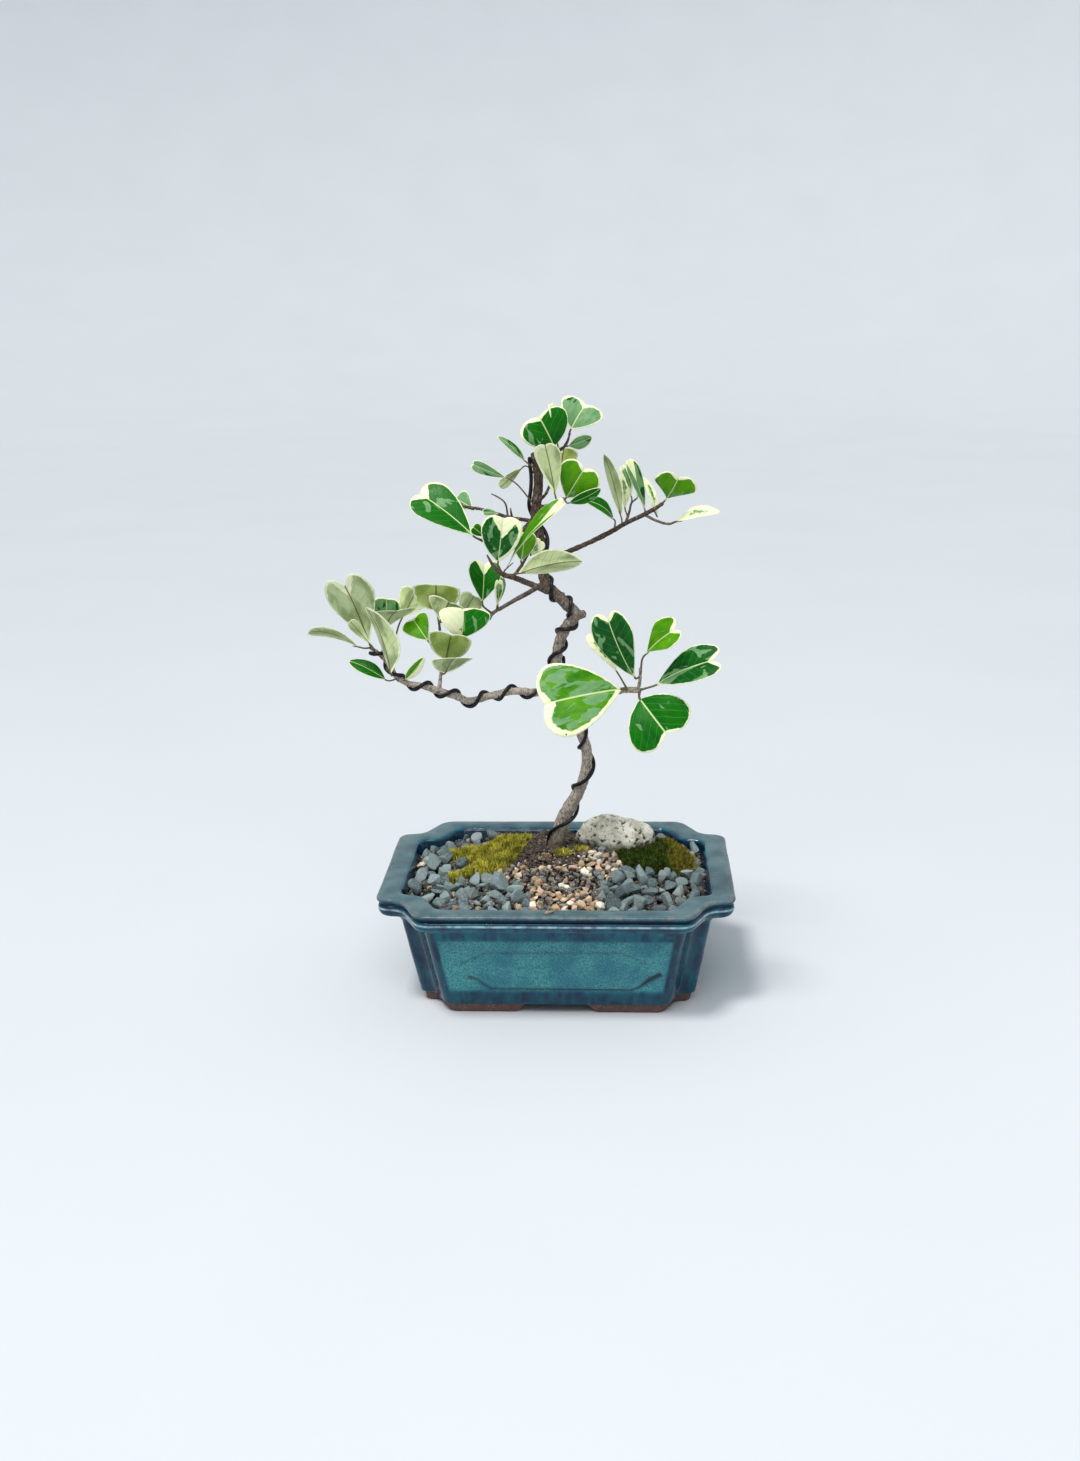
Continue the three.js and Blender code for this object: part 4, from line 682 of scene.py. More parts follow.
class LeafLook(Look):
    """A look in a leaf's own coordinates: millimetres across the midrib, then along it."""

    def __init__(self, name, **settings):
        super().__init__(name, **settings)
        self.spot = self.vector("spot")
        self.long_spot = self.stretched(self.spot, 1, 0.42, 1)
        self.bright = self.node("ShaderNodeSeparateXYZ", {0: self.vector("style")})
        self.grey = self.bright.node.outputs[1]
        self.margin = self.math("SUBTRACT", self.value("rim"), self.times(self.grain(2.2, 4), 2.0))
        self.veins = self.side_veins()

    def grain(self, size, detail):
        return self.noise(size, detail, self.spot, unit=1)

    def streaks(self, size, detail, distortion=0.0):
        """Noise that is longer along the leaf."""
        return self.noise(size, detail, self.long_spot, distortion, unit=1)

    def side_veins(self):
        """Veins that leave the midrib and run towards the tip."""
        along = self.node("ShaderNodeSeparateXYZ", {0: self.spot}, 1)
        slant = self.math("SUBTRACT", along, self.times(self.value("rib"), 0.85))
        bent = self.math("ADD", slant, self.times(self.grain(5, 2), 1.6))
        return self.span(self.math("PINGPONG", bent, 1.7), 0.22, 0.05)


def leaf_top_look():
    look = LeafLook("leaf_upper_side", specular=0.13, coat=0.015)
    tone = look.math("ADD", look.streaks(5.5, 2), look.math("SUBTRACT", look.bright, 0.5))
    green = look.blend(tone, 0.2, 0.5, (4, 74, 22), (6, 98, 0))
    green = look.over(green, tone, 0.58, 0.95, (84, 148, 0))
    green = look.over(green, look.streaks(2.2, 3), 0.4, 0.65, (20, 112, 8), 0.4)
    patch = look.math("ADD", look.streaks(4.2, 2, 0.6), look.times(look.grey, 0.36))
    mottle = look.mix(look.streaks(1.5, 3), rgb(66, 122, 70), rgb(140, 178, 126))
    green = look.mix(look.span(patch, 0.665, 0.69, 0.0, 0.88), green, mottle)
    pale = look.mix(look.grain(3, 2), rgb(228, 232, 176), rgb(248, 247, 214))
    halfway = look.over(pale, look.margin, -0.35, 0.15, (168, 194, 142))
    leaf = look.mix(look.span(look.margin, -0.05, 0.2), halfway, green)
    leaf = look.mix(look.times(look.veins, 0.14), leaf, rgb(150, 190, 100))
    leaf = look.over(leaf, look.value("midrib"), 0.95, 0.45, (206, 218, 160), 0.9)
    fleck = look.span(look.cells(7, vector=look.spot, unit=1), 0.06, 0.04)
    leaf = look.mix(look.times(fleck, look.span(look.margin, 0.8, 0.2)), leaf, rgb(96, 52, 24))
    look.colour(look.mark(leaf, "stalk", (104, 104, 62)))
    look.roughness(look.span(look.grain(2, 2), 0.3, 0.7, 0.32, 0.46))
    return look.bump(look.times(look.veins, -1.0), 0.06).material


def leaf_under_look():
    look = LeafLook("leaf_underside", roughness=0.55, specular=0.35)
    soft = look.streaks(4.5, 3)
    sage = look.blend(soft, 0.38, 0.62, (134, 152, 98), (184, 198, 152))
    backlit = look.blend(soft, 0.4, 0.6, (140, 166, 60), (176, 196, 92))
    under = look.mix(look.value("backlit"), sage, backlit)
    under = look.mix(look.times(look.span(soft, 0.3, 0.6), look.grey), under, rgb(210, 222, 160))
    under = look.mix(look.span(look.margin, -0.2, 0.25), rgb(236, 240, 198), under)
    under = look.mix(look.times(look.veins, 0.4), under, rgb(214, 224, 176))
    midrib = look.mix(look.grain(3, 2), rgb(78, 62, 34), rgb(128, 112, 70))
    under = look.mix(look.span(look.value("midrib"), 1.1, 0.7, 0.0, 0.9), under, midrib)
    look.colour(look.mark(under, "stalk", (96, 84, 52)))
    return look.bump(look.veins, 0.15).material


def floor_look():
    look = Look("pale_floor", roughness=0.7, specular=0.2)
    look.colour(look.mix(look.noise(160, 2), rgb(203, 207, 210), rgb(209, 212, 215)))
    return look.bump(look.noise(1.5, 2), 0.02).material


# Pot

def outline(half, notch):
    """Notched rectangle, counter-clockwise from above, with evenly spaced points."""
    cut = NOTCH * notch
    rounding = CORNER_ROUNDING * notch
    corners = np.array([
        (0, half[1]),
        (half[0] - cut[0], half[1]),
        (half[0] - cut[0] * NOTCH_BEND[0], half[1] - cut[1] * NOTCH_BEND[1]),
        (half[0], half[1] - cut[1]),
        (half[0], 0),
    ])
    straight_counts = [64, 12, 5, 44]
    path = [corners[0]]
    for i in (1, 2, 3):
        before, after = corners[i - 1] - corners[i], corners[i + 1] - corners[i]
        start = corners[i] + before / np.linalg.norm(before) * rounding
        end = corners[i] + after / np.linalg.norm(after) * rounding
        stops = np.linspace(0, 1, straight_counts[i - 1] + 1)[1:, None]
        path.extend(path[-1] * (1 - stops) + start * stops)
        turn = np.linspace(0, 1, 9)[1:, None]
        path.extend(start * (1 - turn) ** 2 + 2 * corners[i] * turn * (1 - turn) + end * turn ** 2)
    stops = np.linspace(0, 1, straight_counts[3] + 1)[1:, None]
    path.extend(path[-1] * (1 - stops) + corners[4] * stops)
    quarter = np.array(path)
    return np.concatenate([
        quarter[::-1],
        quarter[1:] * (-1, 1),
        quarter[::-1][1:] * (-1, -1),
        quarter[1:-1] * (1, -1),
    ])


def outer_notch(inset):
    """Size of the notches, as a share of the rim's, at an inset from the rim."""
    return 1 + (BODY_NOTCH - 1) * min(1, inset / BODY_TOP_INSET)


def outer_ring(inset, z):
    return raised(outline(RIM_HALF - inset, outer_notch(inset)), z)


def raised(flat, z):
    return np.column_stack([flat, np.broadcast_to(z, len(flat))])


def inner_size(z):
    """Half sizes and notch of the pot's inner wall at a height."""
    body_top = RIM_HALF - BODY_TOP_INSET - WALL
    if z >= BODY_TOP_Z:
        share = (z - BODY_TOP_Z) / (POT_HEIGHT - BODY_TOP_Z)
        half = body_top + share * (RIM_HALF - RIM_WIDTH - body_top)
        return half, BODY_NOTCH + share * (RIM_INNER_NOTCH - BODY_NOTCH)
    share = (BODY_TOP_Z - z) / (BODY_TOP_Z - FOOT_HEIGHT)
    return body_top - share * (BODY_FOOT_INSET - BODY_TOP_INSET), BODY_NOTCH


def inner_ring(z, grow=0.0, height=None):
    half, notch = inner_size(z)
    return raised(outline(half + grow, notch), z if height is None else height)


def bend(start, control, end, count):
    """Points of a rounded turn in the profile, after its start."""
    t = np.linspace(0, 1, count + 1)[1:, None]
    start, control, end = (np.array(p, float) for p in (start, control, end))
    return (start * (1 - t) ** 2 + 2 * control * t * (1 - t) + end * t ** 2).tolist()


def wall_profile():
    """Inset from the rim and height, from the foot of the wall up over the lip."""
    profile = [[BODY_FOOT_INSET + 0.5, FOOT_HEIGHT], [BODY_FOOT_INSET + 0.05, FOOT_HEIGHT + 0.4]]
    heights = np.linspace(FOOT_HEIGHT + 1, BODY_TOP_Z - 0.4, 46)
    drop = (BODY_FOOT_INSET - BODY_TOP_INSET) / (BODY_TOP_Z - FOOT_HEIGHT)
    profile += [[BODY_TOP_INSET + (BODY_TOP_Z - z) * drop, z] for z in heights]
    start = (BODY_TOP_INSET, BODY_TOP_Z)
    for control, end, steps in LIP_BENDS:
        profile += bend(start, control, end, steps)
        start = end
    return np.array(profile)


def incised(u, z, scale):
    """Depth of the incised lines at a place along a side and a height. They are wider at their ends."""
    flat_u = u / scale
    lower_distance = edge_distance(LOWER_LINE, flat_u, z)
    ends = smoothstep(33, 42, np.abs(flat_u))
    lower = (0.55 + 0.35 * ends) * np.exp(-((lower_distance / (0.6 + 0.5 * ends)) ** 2))
    upper = 0.24 * np.exp(-((edge_distance(UPPER_LINE, flat_u, z) / 0.7) ** 2))
    return np.maximum(lower, upper)


def pot_rings(profile):
    """Rings up the wall, over the lip and down inside, and how much of each shows the rim's own colour."""
    rings = [(outer_ring(inset, z), smoothstep(51.5, 52.5, z)) for inset, z in profile]
    rim_outer = outer_ring(LIP_INSET, 0)[:, :2]
    rim_inner = inner_ring(POT_HEIGHT, RIM_GROWTH)[:, :2]
    for share in np.linspace(0, 1, RIM_STEPS + 1)[1:]:
        level = POT_HEIGHT - RIM_SAG * (1 - 4 * share * (1 - share))
        rings.append((raised(rim_outer * (1 - share) + rim_inner * share, level), 1.0))
    rings += [(inner_ring(level, growth), top) for growth, level, top in RIM_INNER_BEND]
    rings += [(inner_ring(level), 0.0) for level in INNER_WALL_LEVELS]
    points, tops = zip(*rings)
    return np.array(points), np.array(tops, float)


def carve_sides(points, profile, panel, pool):
    """Cuts the lines and the panel's frame into the sides, colours them, paints shade along the corners and
    says where a side is flat.
    """
    flat_side = np.zeros(panel.shape, bool)
    for axis, other in ((1, 0), (0, 1)):
        scale = 1.0 if axis == 1 else (RIM_HALF[1] - NOTCH[1]) / (RIM_HALF[0] - NOTCH[0])
        for i, (inset, z) in enumerate(profile):
            if i < 2 or z > BODY_TOP_Z:
                continue
            half = RIM_HALF - inset
            corner = half[other] - NOTCH[other] * outer_notch(inset)
            on_side = np.abs(points[i, :, axis]) > half[axis] - 0.02
            u = points[i, :, other]
            reach = corner - np.abs(u)
            frame_line = 0.4 * np.exp(-(((reach - FRAME_LINE_INSET) / 0.7) ** 2))
            depth = np.where(on_side, np.maximum(incised(u, z, scale), frame_line), 0)
            points[i, :, axis] -= np.sign(points[i, :, axis]) * depth
            flat_side[i] |= on_side
            within = smoothstep(2.2, 4.2, reach) * smoothstep(PANEL_LOW_Z - 1, PANEL_LOW_Z + 1.5, z)
            within = within * smoothstep(PANEL_HIGH_Z + 0.6, PANEL_HIGH_Z - 0.8, z)
            panel[i] = np.maximum(panel[i], np.where(on_side, within, 0))
            pool[i] = np.maximum(pool[i], np.where(on_side, np.clip(depth * 1.7, 0, 1), 0))
            # Painted shade along the corner between a flat side and its notch
            near_corner = np.abs(np.abs(u) - corner) < 1.2
            pool[i] = np.maximum(pool[i], np.where(near_corner, 0.55, 0))
    return flat_side


def pot_piece():
    """The glazed body and rim in one skin, with values that say where its glaze changes colour and where
    shade and a highlight are painted on it.
    """
    profile = wall_profile()
    walls = len(profile)
    points, tops = pot_rings(profile)
    size = points.shape[:2]
    panel, pool, bead, edge = (np.zeros(size) for _ in range(4))
    flat_side = carve_sides(points, profile, panel, pool)
    levels = profile[:, 1:]
    # Painted shade in the lip's hollows, where glaze also pools, low on the body and on the notches and
    # rounded corners
    shades = [share * smoothstep(reach, full, np.abs(levels - z)) for z, reach, full, share in LIP_HOLLOWS]
    shades.append(0.5 * smoothstep(PANEL_LOW_Z + 0.5, PANEL_LOW_Z - 2, levels))
    shades.append(0.55 * ((levels < BODY_TOP_Z) & ~flat_side[:walls]))
    for shade in shades:
        pool[:walls] = np.maximum(pool[:walls], shade)
    # Painted shade over the inner wall
    pool[walls + RIM_STEPS + len(RIM_INNER_BEND) - 1:] = 1.0
    # The bead's crest, where a highlight is painted
    bead[:walls] = smoothstep(0.6, 0.1, np.abs(levels - LIP_BEAD_Z))
    # The rim's outer edge, where thin glaze and a highlight are painted
    edge[:walls] = smoothstep(0.8, 0.2, np.abs(levels - LIP_EDGE_Z))
    wobble = rough(points, 13, 2).reshape(size + (1,))
    spread = points[:, :, :2] / np.linalg.norm(points[:, :, :2], axis=2, keepdims=True)
    points[:, :, :2] -= spread * (GLAZE_WAVE + GLAZE_WAVE * wobble) * (points[:, :, 2:] > FOOT_HEIGHT + 0.6)
    shape = Shape()
    marks = {"panel": panel, "pool": pool, "edge": edge, "bead": bead, "top": np.repeat(tops, size[1])}
    marks = {name: values.ravel() for name, values in marks.items()}
    shape.add(points, lattice(*size, True), 0, **marks)
    plain = dict.fromkeys(marks, 0.0)
    add_foot_band(shape, plain)
    underside = [outer_ring(BODY_FOOT_INSET + inset, FOOT_HEIGHT) for inset in (0.5, 14)]
    shape.add(np.concatenate(underside), lattice(2, size[1], True)[:, ::-1], 1, **plain)
    add_floor(shape, plain)
    shape.piece("pot_glazed", [glaze_look(), clay_look()], "glaze", ["pot"])


def add_foot_band(shape, plain):
    """Four bracket feet: a band under the body whose underside rises into an arch in each side's middle."""
    outer = outer_ring(BODY_FOOT_INSET + FOOT_INSET, 0)[:, :2]
    inner = outer_ring(BODY_FOOT_INSET + FOOT_BAND, 0)[:, :2]
    half = RIM_HALF - BODY_FOOT_INSET - FOOT_INSET
    x, y = np.abs(outer).T
    on_long, on_short = y > half[1] - 0.5, x > half[0] - 0.5
    past = np.where(on_long, x - FOOT_ARCH["long"], np.where(on_short, y - FOOT_ARCH["short"], 9.0))
    top = FOOT_HEIGHT + 0.3
    underside = top * (1 - smoothstep(-3.5, 3.8, past))
    taper = ((top - underside) / top)[:, None]
    low = underside + 0.5 * taper[:, 0]
    rings = [
        (outer, np.full(len(outer), top)),
        (outer * (1 - 0.012 * taper), low),
        (outer * (1 - 0.024 * taper), underside),
        (inner * (1 + 0.02 * taper), underside),
        (inner, low),
        (inner, np.full(len(inner), top)),
    ]
    points = np.concatenate([raised(flat, level) for flat, level in rings])
    points[:, :2] *= 1 - 0.0022 * np.abs(rough(points, 2.2, 3))[:, None]
    shape.add(points, lattice(len(rings), len(outer), True)[:, ::-1], 1, **plain)


def drain_ring(x, reach, level):
    """Points about a drain hole; reach is one distance or one for each point."""
    turn = turns(DRAIN_SIDES)
    return raised(np.column_stack([x + np.cos(turn) * reach, np.sin(turn) * reach]), level)


def add_floor(shape, plain):
    """The pot's floor with two round drain holes: strips between each hole and a square about it."""
    half = inner_size(FLOOR_TOP_Z)[0]
    square = 2.2 * DRAIN_RADIUS
    turn = turns(DRAIN_SIDES)
    to_square = square / np.maximum(np.abs(np.cos(turn)), np.abs(np.sin(turn)))
    faces = lattice(3, DRAIN_SIDES, True)
    bore_faces = lattice(2, DRAIN_SIDES, True)[:, ::-1]
    for x in (-DRAIN_X, DRAIN_X):
        for level, flip in ((FOOT_HEIGHT, True), (FLOOR_TOP_Z, False)):
            rings = [drain_ring(x, reach, level) for reach in (DRAIN_RADIUS, DRAIN_RADIUS + 0.4, to_square)]
            shape.add(np.concatenate(rings), faces if flip else faces[:, ::-1], 1, **plain)
        bore = [drain_ring(x, DRAIN_RADIUS, level) for level in (FOOT_HEIGHT, FLOOR_TOP_Z)]
        shape.add(np.concatenate(bore), bore_faces, 1, **plain)
    edges_x = [-half[0] - 1, -DRAIN_X - square, -DRAIN_X + square]
    edges_x += [-x for x in reversed(edges_x)]
    edges_y = [-half[1] - 1, -square, square, half[1] + 1]
    for i, (x0, x1) in enumerate(zip(edges_x, edges_x[1:])):
        for j, (y0, y1) in enumerate(zip(edges_y, edges_y[1:])):
            if j == 1 and i in (1, 3):
                continue
            for level, corners in ((FOOT_HEIGHT, (3, 2, 1, 0)), (FLOOR_TOP_Z, (0, 1, 2, 3))):
                shape.add(floor_tile(x0, x1, y0, y1, level), [corners], 1, **plain)


def floor_tile(x0, x1, y0, y1, level):
    """A rectangle of the floor, its outer corners drawn in so that they stay inside the wall."""
    corners = np.array([(x0, y0), (x1, y0), (x1, y1), (x0, y1)], float)
    half, notch = inner_size(FLOOR_TOP_Z)
    limit = half - NOTCH * notch * 0.6
    both = (np.abs(corners) > limit).all(1)
    corners[both] = np.sign(corners[both]) * np.minimum(np.abs(corners[both]), limit + 1)
    return raised(corners, level)


# Top dressing

def dressing_height(x, y):
    reach = ((x - MOUND[0]) ** 2 + (y - MOUND[1]) ** 2) / (2 * MOUND_SPREAD ** 2)
    return GRAVEL_EDGE_Z + MOUND_HEIGHT * np.exp(-reach)


def icosphere(levels):
    mesh = bpy.data.meshes.new("ball")
    ball = bmesh.new()
    bmesh.ops.create_icosphere(ball, subdivisions=levels, radius=1.0)
    ball.to_mesh(mesh)
    ball.free()
    vertices = np.array([v.co for v in mesh.vertices])
    faces = np.array([tuple(p.vertices) for p in mesh.polygons])
    bpy.data.meshes.remove(mesh)
    return vertices, faces


BALLS = {levels: icosphere(levels) for levels in (1, 2, 3, 6)}

# How far from a ball's middle the planes cut it, as shares of its radius
PLAIN_CUTS = (0.38, 0.78)


def random_turn(rng, tilt):
    spins = [Matrix.Rotation(angle, 3, "Z") for angle in rng.uniform(0, 2 * math.pi, 2)]
    return np.array(spins[0] @ Matrix.Rotation(rng.uniform(-tilt, tilt), 3, "X") @ spins[1])


def crushed_stone(rng, levels, half, cuts, tilt=math.pi, depth=PLAIN_CUTS):
    """A ball cut flat by random planes, then scaled and turned."""
    vertices = BALLS[levels][0].copy()
    for normal in rng.normal(size=(cuts, 3)):
        normal /= np.linalg.norm(normal)
        over = vertices @ normal - rng.uniform(*depth)
        vertices -= np.outer(np.maximum(over, 0), normal)
    vertices /= np.abs(vertices).max(0) * 0.5 + 0.5
    return (vertices * half) @ random_turn(rng, tilt).T


def region(name, x, y):
    """Whether places belong to an area of the dressing; the areas are listed in the order of covering."""
    free = np.ones(np.shape(x), bool)
    for other, corners in AREAS.items():
        if other == name:
            return free & inside(corners, x, y)
        free &= ~inside(corners, x, y)
    return free


def stone_cover(x, y):
    """Under 1 where the big stone stands."""
    return np.hypot((x - STONE_MIDDLE[0]) / (STONE_HALF[0] - 1), (y - STONE_MIDDLE[1]) / (STONE_HALF[1] - 1))


def scattered(rng, name, radii, tries=60, packing=0.8):
    """Places and radii for pieces of falling size in an area, none much closer than it is wide."""
    half, notch = inner_size(GRAVEL_EDGE_Z)
    wall = outline(half, notch)[::4]
    x, y = rng.uniform(-half, half, (SCATTER_CANDIDATES, 2)).T
    free = region(name, x, y) & inside(wall, x, y) & (stone_cover(x, y) > 1)
    x, y = x[free], y[free]
    room = edge_distance(closed(wall), x, y)
    placed = np.zeros((0, 3))
    for radius in sorted(radii, reverse=True):
        pick = rng.integers(len(x), size=tries)
        apart = np.hypot(x[pick, None] - placed[:, 0], y[pick, None] - placed[:, 1])
        fits = (apart > packing * (placed[:, 2] + radius)).all(1) & (room[pick] > 0.75 * radius)
        if fits.any():
            chosen = pick[np.argmax(fits)]
            placed = np.vstack([placed, (x[chosen], y[chosen], radius)])
    return placed


# Colours of the stones and chips
GREYS = [(104, 124, 126), (84, 104, 110), (128, 146, 146), (72, 90, 96), (112, 130, 126), (148, 160, 156)]
TANS = [(208, 182, 142), (222, 204, 174), (186, 150, 108), (232, 224, 206), (206, 164, 138), (172, 140, 106)]
DARKS = [(58, 50, 46), (44, 38, 36), (74, 64, 58), (92, 82, 74)]
OCHRES = [(150, 112, 66), (172, 134, 84), (186, 148, 130)]


def tint(rng, choices, spread=0.12):
    base = choices[rng.integers(len(choices))]
    factor = 1 + rng.uniform(-spread, spread)
    return rgb(*[min(255, max(0, channel * factor)) for channel in base])[:3]


def add_stones(shape, rng, spots, tints, levels, flat, cuts, sink, depth=PLAIN_CUTS):
    """Stones at the spots; flat is the height's share of the width and sink how deep the middle lies."""
    for x, y, radius in spots:
        half = radius * np.array([rng.uniform(0.9, 1.4), rng.uniform(0.62, 1.0), rng.uniform(*flat)])
        stone = crushed_stone(rng, levels, half, cuts, depth=depth)
        level = dressing_height(x, y)
        middle = level - sink * radius + rng.uniform(-0.3, 0.3)
        lift = max(0.0, level - DRESSING_DEPTH - (stone[:, 2].min() + middle))
        stone = stone + (x, y, middle + lift)
        shadow = smoothstep(level + 0.5, level - 2.0, stone[:, 2])
        shape.add(stone, BALLS[levels][1], 0, tint=tint(rng, tints), low=shadow)


def coarse_gravel(name, seed, count, big_stone=None):
    rng = np.random.default_rng(seed)
    spots = scattered(rng, name, rng.triangular(1.9, 3.0, 4.7, count))
    shape = Shape()
    if big_stone:
        near = np.hypot(spots[:, 0] - big_stone[0], spots[:, 1] - big_stone[1])
        spots = spots[near > 0.85 * (spots[:, 2] + big_stone[2])]
        add_stones(shape, rng, [big_stone], GREYS[:1], 3, (0.8, 0.95), 12, 0.3, (0.4, 0.7))
    x, y, radius = spots.T
    by_wall = (radius < 2.8) & ((np.abs(y) > 34) | (np.abs(x) > 54))
    large = ~by_wall & (radius > 2.7)
    angular = {"cuts": 9, "sink": 0.25, "depth": (0.3, 0.62)}
    add_stones(shape, rng, spots[large], GREYS, 3, (0.75, 1.05), **angular)
    add_stones(shape, rng, spots[~by_wall & ~large], GREYS * 5 + OCHRES[:2], 2, (0.7, 1.0), **angular)
    add_stones(shape, rng, spots[by_wall], GREYS[:4] + OCHRES * 2 + TANS, 2, (0.7, 1.0), 16, 0.2)
    crumbs = scattered(rng, name, rng.uniform(0.8, 1.7, 3 * count), 16, 0.5)
    add_stones(shape, rng, crumbs, TANS + GREYS + DARKS, 1, (0.6, 0.9), 6, 1.5)
    low_fill = scattered(rng, name, rng.uniform(1.2, 2.2, 2 * count), 16, 0.45)
    add_stones(shape, rng, low_fill, DARKS, 1, (0.6, 0.9), 6, 1.7)
    material = stones_look(name + "_rock", (164, 172, 170), 0.3)
    shape.piece(name + "_stones", [material], "grey_gravel", [name], False)


def fine_gravel():
    """Fine gravel with a dark patch of litter, and one grain that lies on the rim."""
    rng = np.random.default_rng(31)
    shape = Shape()
    grains = scattered(rng, "fine_gravel", rng.triangular(0.8, 1.3, 2.8, 720), 50, 0.74)
    (x, y), (reach_x, reach_y) = LITTER_MIDDLE, LITTER_REACH
    from_middle = np.hypot((grains[:, 0] - x) / reach_x, (grains[:, 1] - y) / reach_y)
    litter = from_middle + rng.uniform(-0.3, 0.3, len(grains)) < 1
    mixed = TANS * 2 + DARKS * 2 + GREYS[1:3] + OCHRES
    add_stones(shape, rng, grains[~litter], mixed, 1, (0.6, 0.95), 7, 0.2)
    add_stones(shape, rng, grains[litter], DARKS * 5 + TANS[1:4], 1, (0.5, 0.8), 7, 0.3)
    under = scattered(rng, "fine_gravel", rng.uniform(0.7, 1.5, 1100), 20, 0.5)
    add_stones(shape, rng, under, DARKS * 3 + TANS[5:], 1, (0.65, 1.0), 6, 1.9)
    on_rim = crushed_stone(rng, 2, np.array([2.1, 1.3, 0.8]), 8, 0.2)
    shape.add(on_rim + RIM_GRAIN, BALLS[2][1], 0, tint=rgb(118, 96, 84)[:3], low=0.0)
    material = stones_look("fine_rock", (214, 204, 190), 0.2)
    shape.piece("fine_gravel_grains", [material], "fine_gravel", ["fine_gravel"], False)


def bark_mulch():
    rng = np.random.default_rng(47)
    shape = Shape()
    for x, y, radius in scattered(rng, "bark_mulch", rng.triangular(1.2, 2.2, 4.2, 420), 60, 0.55):
        half = radius * np.array([rng.uniform(0.9, 1.4), rng.uniform(0.45, 0.8), rng.uniform(0.16, 0.3)])
        chip = crushed_stone(rng, 2, half, 9, 0.6)
        level = dressing_height(x, y) - 0.35 * radius + rng.uniform(-0.4, 0.6)
        shape.add(chip + (x, y, level), BALLS[2][1], 0, tint=tint(rng, DARKS), low=0.0)
    crumbs = scattered(rng, "bark_mulch", rng.uniform(0.6, 1.5, 900), 20, 0.45)
    add_stones(shape, rng, crumbs, DARKS * 3 + TANS, 1, (0.6, 0.9), 6, 0.9)
    shape.piece("bark_mulch_chips", [mulch_look()], "bark_mulch", ["bark_mulch"], False)


def moss_ground(name, x, y, seed):
    """Height of a moss cushion: it rises from the outline and is bumpy."""
    within = inside(AREAS[name], x, y)
    depth_in = np.where(within, edge_distance(closed(AREAS[name]), x, y), 0)
    bumps = rough(np.column_stack([x.ravel(), y.ravel(), np.zeros(x.size)]), 3.2, 3, seed).reshape(x.shape)
    rise = MOSS_RISE * (1 - np.exp(-depth_in / 2.2)) + 0.6 * bumps * within
    return dressing_height(x, y) - 0.9 + rise


def moss_places(rng, name, low, high, tufts):
    """Where the leaflets of a moss area and of its small tufts grow."""
    count = MOSS_LEAFLETS
    x, y = rng.uniform(low, high, (8 * count, 2)).T
    margin = edge_distance(closed(AREAS[name]), x, y)
    spill = margin < 0.9 * rng.random(len(x)) ** 2
    grows = (inside(AREAS[name], x, y) | spill) & (stone_cover(x, y) > 0.96)
    x, y = x[grows][:count], y[grows][:count]
    for tuft_x, tuft_y, radius in tufts:
        angle = rng.uniform(0, 2 * math.pi, TUFT_LEAFLETS)
        reach = radius * np.sqrt(rng.random(TUFT_LEAFLETS))
        x = np.append(x, tuft_x + reach * np.cos(angle))
        y = np.append(y, tuft_y + 0.7 * reach * np.sin(angle))
    return x, y


def moss(name, seed, greens, brown_share, brown_from=None, tufts=()):
    """A mat of moss: a bumpy cushion and thousands of thin curved leaflets. Where brown_from is given, the
    brown leaflets set in between those two places from left to right."""
    rng = np.random.default_rng(seed)
    shape = Shape()
    corners = np.array(AREAS[name])
    low, high = corners.min(0) - 1, corners.max(0) + 1
    x, y = np.meshgrid(np.arange(low[0], high[0], 0.8), np.arange(low[1], high[1], 0.8))
    z = moss_ground(name, x, y, seed) - 0.4
    faces = lattice(*x.shape)
    faces = faces[inside(AREAS[name], x.ravel()[faces].mean(1), y.ravel()[faces].mean(1))]
    used, faces = np.unique(faces, return_inverse=True)
    cushion = np.column_stack([x.ravel(), y.ravel(), z.ravel()])[used]
    shape.add(cushion, faces.reshape(-1, 4), 0, tip=0.3, tint=rgb(*greens[0])[:3])
    x, y = moss_places(rng, name, low, high, tufts)
    count = len(x)
    lump = rough(np.column_stack([x, y, np.zeros(count)]), 4.5, 2, seed + 5)
    length = rng.uniform(1.3, 3.2, count) + 0.9 * np.maximum(0, lump)
    lean = rng.uniform(0.1, 1.2, count)
    heading = rng.uniform(0, 2 * math.pi, count)
    aside = np.column_stack([np.cos(heading), np.sin(heading), np.zeros(count)])
    wide = np.column_stack([-aside[:, 1], aside[:, 0], aside[:, 2]]) * rng.uniform(0.16, 0.3, (count, 1))
    start = np.column_stack([x, y, moss_ground(name, x, y, seed) - 0.5])

    def step(angle):
        half = 0.5 * length[:, None]
        return half * (aside * np.sin(angle)[:, None] + np.array([[0, 0, 1]]) * np.cos(angle)[:, None])

    knee = start + step(0.6 * lean)
    point = knee + step(1.3 * lean)
    leaflets = np.stack([start - wide, start + wide, knee + 0.9 * wide, knee - 0.9 * wide, point], 1)
    first = 5 * np.arange(count)[:, None]
    brown = brown_share * (smoothstep(*brown_from, x) if brown_from else 1)
    brown = brown + 0.4 * lump + rng.uniform(-0.3, 0.3, count)
    kind = np.where(brown > 0.5, 1, 0)
    kind[rng.random(count) < 0.12] = 2
    palette = np.array([rgb(*green)[:3] for green in greens])
    # Tints darker in the low places and lighter on the lumps, where the leaflets are longer: painted shade
    # and light
    tints = palette[kind] * rng.uniform(0.7, 1.3, (count, 1)) * np.clip(0.9 + 0.7 * lump, 0.35, 1.4)[:, None]
    shape.add(
        leaflets, (first + [0, 1, 2, 3]).tolist() + (first + [3, 2, 4]).tolist(), 0,
        tip=np.tile([0.1, 0.1, 0.8, 0.8, 1.0], count), tint=np.repeat(tints, 5, 0),
    )
    shape.piece(name + "_mat", [moss_look()], "moss", [name])


